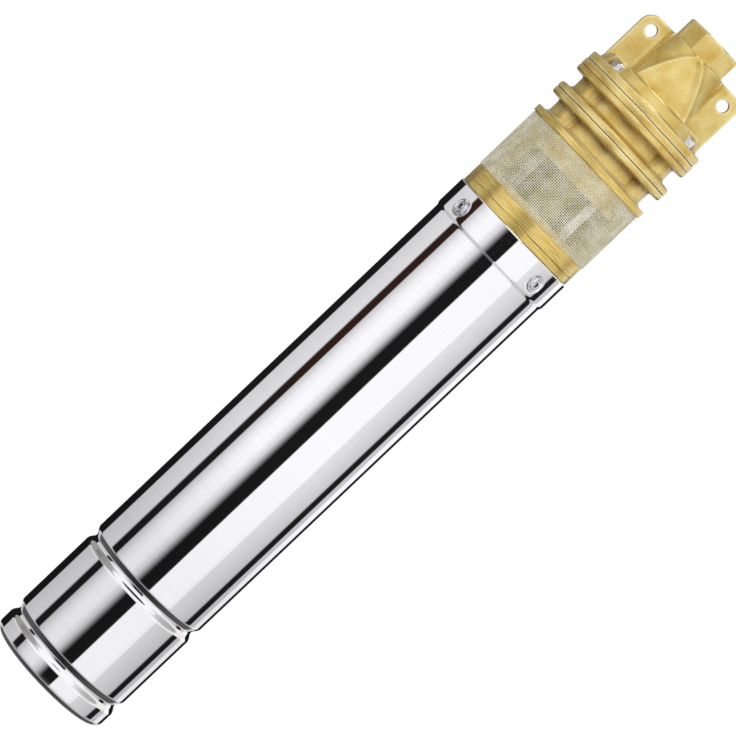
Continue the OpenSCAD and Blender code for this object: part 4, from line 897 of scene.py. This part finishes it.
def bolt_grids(s):
    """Hexagon bolts: each row's radius is the lesser of the hexagon and the row's own circle."""
    half, point = s.bolt_flats / 2, 0.5 * MM
    # Radius and height of the shank's rows, then the head's, which the shares of half its flats chamfer
    rows = np.array([
        (0, BOLT_LOW), (s.bolt_radius - point, BOLT_LOW), (s.bolt_radius, BOLT_LOW + point),
        (s.bolt_radius, WASHER_HIGH), (half * 1.1, WASHER_HIGH), (half * 1.2, WASHER_HIGH + 0.3 * MM),
        (half * 1.16, BOLT_HIGH - 0.9 * MM), (half * 1.06, BOLT_HIGH - 0.45 * MM), (half * 0.95, BOLT_HIGH),
        (half * 0.6, BOLT_HIGH), (0, BOLT_HIGH),
    ])
    theta = circle(5)
    return at_bolts(s, around(np.minimum(polygon(s.bolt_flats, 6, theta), rows[:, :1]), rows[:, 1:], theta))


def washer_grids(s):
    """Washers: a flat ring's rounded outline carried round each bolt."""
    e, low, high = 0.3 * MM, WASHER_LOW, WASHER_HIGH
    outer, hole = s.washer_radius, s.bolt_radius + 0.2 * MM
    outline = np.concatenate([
        arc(outer - e, low + e, e, -90, 0, 4), arc(outer - e, high - e, e, 0, 90, 4),
        arc(hole + e, high - e, e, 90, 180, 4), arc(hole + e, low + e, e, 180, 270, 4),
    ])
    return at_bolts(s, around(outline[:, :1], outline[:, 1:], circle(7.5)))


class PUMP_OT_motor_tube(bpy.types.Operator):
    """Builds the polished motor tube with its rolled grooves, foot and band"""

    bl_idname = "pump.motor_tube"
    bl_label = "Motor tube"

    def execute(self, context):
        grids = tube_grid(context.scene.pump_tube)
        build("motor_tube", grids, mirror_buffed_stainless, "polished_stainless", "motor_shell")
        return {"FINISHED"}


class PUMP_OT_band_screws(bpy.types.Operator):
    """Builds the button-head screws in the tube's band"""

    bl_idname = "pump.band_screws"
    bl_label = "Band screws"

    def execute(self, context):
        grids = band_screw_grids(context.scene.pump_tube)
        build("band_button_screws", grids, bright_turned_stainless, "turned_stainless", "band_screws", wrap=False)
        return {"FINISHED"}


class PUMP_OT_intake_screen(bpy.types.Operator):
    """Weaves the intake screen from upright wires and ring wires"""

    bl_idname = "pump.intake_screen"
    bl_label = "Intake screen"

    def execute(self, context):
        s = context.scene.pump_screen
        kind = (pickled_stainless_wire, "woven_stainless", "intake_screen")
        build("screen_upright_wires", upright_wire_grids(s), *kind, wrap=False, sharp=180)
        build("screen_ring_wires", ring_wire_grids(s), *kind, sharp=180)
        return {"FINISHED"}


class PUMP_OT_casings(bpy.types.Operator):
    """Builds the two stage casings"""

    bl_idname = "pump.casings"
    bl_label = "Stage casings"

    def execute(self, context):
        s = context.scene.pump_brass
        build("lower_stage_casting", lower_casing_grid(s), bright_dipped_cast_brass, "cast_brass", "lower_casing")
        build("upper_stage_casting", upper_casing_grid(s), bright_dipped_cast_brass, "cast_brass", "upper_casing")
        return {"FINISHED"}


class PUMP_OT_outlet_head(bpy.types.Operator):
    """Builds the outlet head with its lifting lugs and pipe thread"""

    bl_idname = "pump.outlet_head"
    bl_label = "Outlet head"

    def execute(self, context):
        s = context.scene.pump_brass
        build("outlet_head_casting", outlet_head_grid(s), bright_dipped_cast_brass, "cast_brass", "outlet_head")
        build("lifting_lugs", lug_grids(s), bright_dipped_cast_brass, "cast_brass", "outlet_head")
        return {"FINISHED"}


class PUMP_OT_head_bolts(bpy.types.Operator):
    """Builds the head bolts and their washers"""

    bl_idname = "pump.head_bolts"
    bl_label = "Head bolts"

    def execute(self, context):
        s = context.scene.pump_brass
        kind = (bright_turned_stainless, "turned_stainless")
        build("head_hex_bolts", bolt_grids(s), *kind, "head_bolts", wrap=False, sharp=25)
        build("head_bolt_washers", washer_grids(s), *kind, "bolt_washers")
        return {"FINISHED"}


class PUMP_OT_cad_finishes(bpy.types.Operator):
    """Gives every CAD piece that keeps its own shape its finish"""

    bl_idname = "pump.cad_finishes"
    bl_label = "Finishes of the CAD pieces"

    groups = (
        (lathe_turned_brass, ("upper_bracket", "suction_bracket")),
        (bright_dipped_cast_brass, ("cable_gland", "gland_nut", "oil_plug", "first_impeller", "second_impeller")),
        (bright_turned_stainless, ("rotor_shaft", "seal_collar", "impeller_keys", "impeller_washer", "impeller_nut",
                                   "shaft_spacers", "bracket_screws", "seal_spring")),
        (honed_bearing_steel, ("lower_bearing_outer", "lower_bearing_inner", "lower_bearing_balls",
                               "upper_bearing_outer", "upper_bearing_inner", "upper_bearing_balls")),
        (oiled_spring_steel, ("wave_spring", "shaft_circlip")),
        (zinc_plated_steel, ("clamp_ring", "clamp_screws")),
        (varnished_core_sheets, ("stator_core", "rotor_core")),
        (stove_painted_cast_iron, ("bottom_cover", "lower_bracket")),
        (enamelled_copper_wire, ("stator_winding",)),
        (pressure_cast_aluminium, ("rotor_cage",)),
        (turned_tin_bronze, ("casing_bushes",)),
        (moulded_nitrile_rubber, ("cover_seal_ring", "oil_diaphragm", "bracket_seal_ring", "lip_seal", "seal_bellows",
                                  "gland_bush")),
        (moulded_nylon, ("lower_bearing_cage", "upper_bearing_cage")),
        (lapped_alumina, ("seal_seat",)),
        (resin_bound_carbon, ("seal_face",)),
        (pressed_fibre_sheet, ("stage_gaskets",)),
    )

    def execute(self, context):
        for maker, nodes in self.groups:
            for node in nodes:
                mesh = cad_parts[node].data
                mesh.materials.clear()
                mesh.materials.append(finish(maker))
        return {"FINISHED"}


# Tones of the studio at angles in degrees from the camera's side towards the right: the panels that the tube mirrors,
# the share of them in the rows beside its foot, the wall in front of the brass (to either side), the rows above it,
# and the dark and pale parts of the bowl (to either side)
PANELS = (
    (-180, 0.9), (-173, 0.8), (-168, 0.01), (-127, 0.01), (-125, 0.66), (-84, 0.76), (-80, 0.012), (-68, 0.012),
    (-66, 0.62), (-53, 0.9), (-41, 1.01), (-29, 1), (-18, 0.7), (-9, 0.12), (-6, 0.01), (13, 0.01), (14.5, 1.01),
    (58, 1.01), (61, 0.8), (75, 0.74), (99, 0.62), (103, 0.012), (115, 0.012), (117, 0.6), (128, 0.62), (130, 1.01),
    (146, 1.01), (148, 0.01), (168, 0.01), (173, 0.8), (180, 0.9),
)
FOOT_SHARE = ((0, 0.8), (12, 0.92), (50, 0.92), (62, 0.84))
FRONT_TONES = ((15, 0.78), (50, 1))
UPPER_TONES = ((-180, 0.2), (-110, 0.22), (-70, 0.38), (-40, 1), (40, 1), (80, 0.5), (130, 0.35), (180, 0.25))
BOWL_DARK = ((0, 0.015), (50, 0.03), (120, 0.09))
BOWL_PALE = ((0, 0.3), (60, 0.45), (180, 0.9))
CEILING_TONE = 0.05

# Faint tints: the white panels', and that of the dark panel at the left, between two angles and under a tone
COOL_WHITE = (1.0, 1.0, 1.01)
BROWN, BROWN_FROM, BROWN_TO, BROWN_UNDER = (0.03, 0.013, 0.011), -81, -66, 0.3

# The wall at the sides of the brass, and the angles where it begins and over which it fades in
LEFT_WALL, RIGHT_WALL, WALL_FROM, WALL_FADE = (0.35, 0.33, 0.3), (0.93, 0.89, 0.83), 60, 20

# Lamps: name, place, power in watts, width in metres and whether the metal mirrors it; and what they are aimed at
LAMPS = (
    ("key_lamp", (-0.4, -2.7, 1.7), 51, 1.2, False),
    ("fill_lamp", (2.2, -1.6, 1.4), 11, 1.8, False),
    ("head_lamp", (0.0, -0.2, 1.5), 2, 0.4, True),
)
LAMP_AIM = Vector((0, 0, 0.3))

# Floor: half its width and its height in metres, its glow and the share of that in what the camera sees
FLOOR_HALF, FLOOR_LOW, FLOOR_GLOW, FLOOR_SHARE = 9, -0.5 * MM, 1.1, 0.86
WHITE, WORLD_LIGHT = (1, 1, 1, 1), 0.44

# Camera: width of its sensor in millimetres, and how far it sees in metres
SENSOR_WIDTH, CLIP_END = 36, 50


def graded(table, at):
    """Values of a table of (place, value) pairs, in straight lines between its places."""
    return np.interp(at, *np.transpose(table))


def studio_tones(turned):
    """Colours of the studio ring by the height of each row in metres, at angles from the camera's side.

    The lower rows are black and white panels, which end above the tube. The rows over them are a wall that is white
    in front and darker at the sides.
    """
    panel = graded(PANELS, turned)[:, None] * np.array(COOL_WHITE)
    dimmed = panel * graded(FOOT_SHARE, turned)[:, None]
    brown = ((turned > BROWN_FROM) & (turned < BROWN_TO))[:, None] & (panel < BROWN_UNDER)
    tinted = np.where(brown, BROWN, panel)
    aside = ease((np.abs(turned) - WALL_FROM) / WALL_FADE)[:, None]
    wall = np.where((turned < 0)[:, None], LEFT_WALL, RIGHT_WALL)
    bright = graded(FRONT_TONES, np.abs(turned))[:, None]
    mixed = tinted + (wall - tinted) * aside
    front = bright + (wall - bright) * aside
    upper = np.repeat(graded(UPPER_TONES, turned)[:, None], 3, 1)
    return {-0.3: dimmed, -0.06: dimmed, 0.1: panel, 0.18: tinted, 0.4: tinted, 0.42: mixed, 0.45: front,
            0.75: front, 0.85: upper, 1.7: upper}


def stage_object(name, points, faces, material):
    """An object of the studio, which isn't part of the pump."""
    mesh = bpy.data.meshes.new(name)
    mesh.from_pydata(points, [], faces)
    mesh.materials.append(material)
    thing = bpy.data.objects.new(name, mesh)
    bpy.context.scene.collection.objects.link(thing)
    return thing


def mirrored_only(thing):
    """Keeps a panel for the mirror images in metal: it lights and shades nothing else."""
    thing.visible_camera = False
    thing.visible_diffuse = False
    thing.visible_shadow = False
    thing.visible_transmission = False


def glow(name):
    """A panel's material: it shines with the panel's own tone, kept in an attribute."""
    material = bpy.data.materials.new(name)
    tree = cleared(material)
    tone = add(tree, "ShaderNodeAttribute", {"attribute_name": "tone"})
    shine = add(tree, "ShaderNodeEmission", links={"Color": tone.outputs["Color"]})
    add(tree, "ShaderNodeOutputMaterial", links={"Surface": shine.outputs["Emission"]})
    return material


def set_tone(thing, tones):
    """Writes each corner point's brightness, or colour, to the panel's attribute."""
    layer = thing.data.attributes.new("tone", "FLOAT_COLOR", "POINT")
    values = np.ones((len(thing.data.vertices), 4), np.float32)
    values[:, :3] = np.reshape(tones, (len(values), -1))
    layer.data.foreach_set("color", values.reshape(-1))


class PUMP_OT_stage(bpy.types.Operator):
    """Sets up the floor, the world, the lamps, the panels that the metal mirrors and the camera"""

    bl_idname = "pump.stage"
    bl_label = "Stage"

    def execute(self, context):
        s = context.scene.pump_stage
        self.make_floor(s)
        self.make_world(context.scene)
        self.make_panels(s)
        self.make_lamps(context.scene)
        self.make_camera(context.scene, s)
        context.scene.view_settings.view_transform = "Standard"
        return {"FINISHED"}

    def make_floor(self, s):
        """Pale floor under the foot: mostly white to the camera, so that only the pump's soft shadow shows."""
        material = bpy.data.materials.new("studio_floor")
        tree = cleared(material)
        path = add(tree, "ShaderNodeLightPath")
        matt = add(tree, "ShaderNodeBsdfDiffuse", values={"Color": (*s.floor, 1)})
        white = add(tree, "ShaderNodeEmission", values={"Color": WHITE, "Strength": FLOOR_GLOW})
        share = add(tree, "ShaderNodeMath", {"operation": "MULTIPLY"}, {1: FLOOR_SHARE},
                    {0: path.outputs["Is Camera Ray"]})
        mix = add(tree, "ShaderNodeMixShader", links={
            0: share.outputs["Value"], 1: matt.outputs["BSDF"], 2: white.outputs["Emission"]})
        add(tree, "ShaderNodeOutputMaterial", links={"Surface": mix.outputs["Shader"]})
        corners = [(x * FLOOR_HALF, y * FLOOR_HALF, FLOOR_LOW) for x, y in ((-1, -1), (1, -1), (1, 1), (-1, 1))]
        floor = stage_object("studio_floor", corners, [(0, 1, 2, 3)], material)
        floor.visible_glossy = False

    def make_world(self, scene):
        """White to the camera and in mirrors; softer where it only lights."""
        world = bpy.data.worlds.new("studio_world")
        tree = cleared(world)
        path = add(tree, "ShaderNodeLightPath")
        seen = path.outputs["Is Camera Ray"]
        for ray in ("Is Glossy Ray", "Is Transmission Ray"):
            either = add(tree, "ShaderNodeMath", {"operation": "MAXIMUM"}, links={0: seen, 1: path.outputs[ray]})
            seen = either.outputs["Value"]
        soft = add(tree, "ShaderNodeBackground", values={"Color": WHITE, "Strength": WORLD_LIGHT})
        white = add(tree, "ShaderNodeBackground", values={"Color": WHITE, "Strength": 1.0})
        mix = add(tree, "ShaderNodeMixShader", links={
            0: seen, 1: soft.outputs["Background"], 2: white.outputs["Background"]})
        add(tree, "ShaderNodeOutputWorld", links={"Surface": mix.outputs["Shader"]})
        scene.world = world

    def make_panels(self, s):
        """A ring of panels round the pump that closes below it in a bowl, dark in the middle, and a dark panel above.

        The bowl's dark part ends lower in front than at the back, by the cosine of half the angle from the camera.
        """
        material = glow("studio_panel")
        turned = np.arange(-180, 180, 0.5)
        away = np.abs(turned)
        phi = np.radians(turned) + s.azimuth
        walls = studio_tones(turned)
        dark, pale = graded(BOWL_DARK, away), graded(BOWL_PALE, away)
        edge = np.minimum(-s.bowl_edge * np.cos(np.radians(away / 2)), -s.bowl_rim)
        pinhole, below = 0.01, 0.01
        bowl = [(-np.pi / 2 + pinhole, dark), (edge - s.bowl_blur, dark), (edge + s.bowl_blur, pale)]
        rows = [(around(s.ring * np.cos(e), s.bowl_middle + s.ring * np.sin(e), phi), tone) for e, tone in bowl]
        rows += [(around(s.ring, z, phi), tone) for z, tone in walls.items()]
        high = max(walls) - below
        ceiling = [(around(r, high, phi), np.full(len(phi), CEILING_TONE)) for r in (s.ceiling, pinhole)]
        for name, panel in (("studio_ring", rows), ("studio_ceiling", ceiling)):
            n, count = len(phi), len(panel)
            points = np.concatenate([row for row, _ in panel])
            i, j = np.arange(n)[None], np.arange(count - 1)[:, None] * n
            faces = np.stack(np.broadcast_arrays(j + i, j + (i + 1) % n, j + n + (i + 1) % n, j + n + i), -1)
            thing = stage_object(name, points.tolist(), faces.reshape(-1, 4).tolist(), material)
            tones = [np.broadcast_to(np.reshape(tone, (n, -1)), (n, 3)) for _, tone in panel]
            set_tone(thing, np.concatenate(tones))
            mirrored_only(thing)

    def make_lamps(self, scene):
        """Two large soft lamps at a plain level, and a small one above the head, which the metal mirrors."""
        for name, place, power, size, mirrored in LAMPS:
            lamp = bpy.data.lights.new(name, "AREA")
            lamp.energy, lamp.size = power, size
            thing = bpy.data.objects.new(name, lamp)
            thing.location = place
            thing.rotation_euler = (LAMP_AIM - Vector(place)).to_track_quat("-Z", "Y").to_euler()
            thing.visible_glossy = mirrored
            scene.collection.objects.link(thing)

    def make_camera(self, scene, s):
        """Camera on its side of the pump, aimed at a point near the axis and rolled about its own axis."""
        camera = bpy.data.cameras.new("camera")
        camera.lens, camera.sensor_width, camera.clip_end = s.lens, SENSOR_WIDTH, CLIP_END
        right = Vector((np.cos(s.azimuth), np.sin(s.azimuth), 0))
        place = Vector((np.sin(s.azimuth) * s.distance, -np.cos(s.azimuth) * s.distance, s.eye))
        target = right * s.side + Vector((0, 0, s.aim))
        look = (target - place).to_track_quat("-Z", "Y").to_matrix().to_4x4()
        thing = bpy.data.objects.new("camera", camera)
        thing.matrix_world = Matrix.Translation(place) @ look @ Matrix.Rotation(s.roll, 4, "Z")
        scene.collection.objects.link(thing)
        scene.camera = thing


STEPS = (PUMP_OT_motor_tube, PUMP_OT_band_screws, PUMP_OT_intake_screen, PUMP_OT_casings, PUMP_OT_outlet_head,
         PUMP_OT_head_bolts, PUMP_OT_cad_finishes, PUMP_OT_stage)
SETTINGS = {"pump_tube": TubeSettings, "pump_brass": BrassSettings, "pump_screen": ScreenSettings,
            "pump_stage": StageSettings}


class PUMP_PT_sidebar(bpy.types.Panel):
    """Lists the pump's pieces and their settings"""

    bl_idname = "PUMP_PT_sidebar"
    bl_label = "Borehole pump"
    bl_space_type = "VIEW_3D"
    bl_region_type = "UI"
    bl_category = "Pump"

    def draw(self, context):
        for step in STEPS:
            self.layout.operator(step.bl_idname)
        for key, group in SETTINGS.items():
            box = self.layout.box()
            for value in group.__annotations__:
                box.prop(getattr(context.scene, key), value)


CLASSES = (*SETTINGS.values(), *STEPS, PUMP_PT_sidebar)


def register():
    """Registers the classes and puts the settings on the scene."""
    for item in CLASSES:
        bpy.utils.register_class(item)
    for key, group in SETTINGS.items():
        setattr(bpy.types.Scene, key, PointerProperty(type=group))


def unregister():
    """Takes the settings and the classes away again."""
    for key in SETTINGS:
        delattr(bpy.types.Scene, key)
    for item in reversed(CLASSES):
        bpy.utils.unregister_class(item)


def main():
    register()
    bpy.ops.pump.motor_tube()
    bpy.ops.pump.band_screws()
    bpy.ops.pump.intake_screen()
    bpy.ops.pump.casings()
    bpy.ops.pump.outlet_head()
    bpy.ops.pump.head_bolts()
    bpy.ops.pump.cad_finishes()
    bpy.ops.pump.stage()


if __name__ == "__main__":
    main()
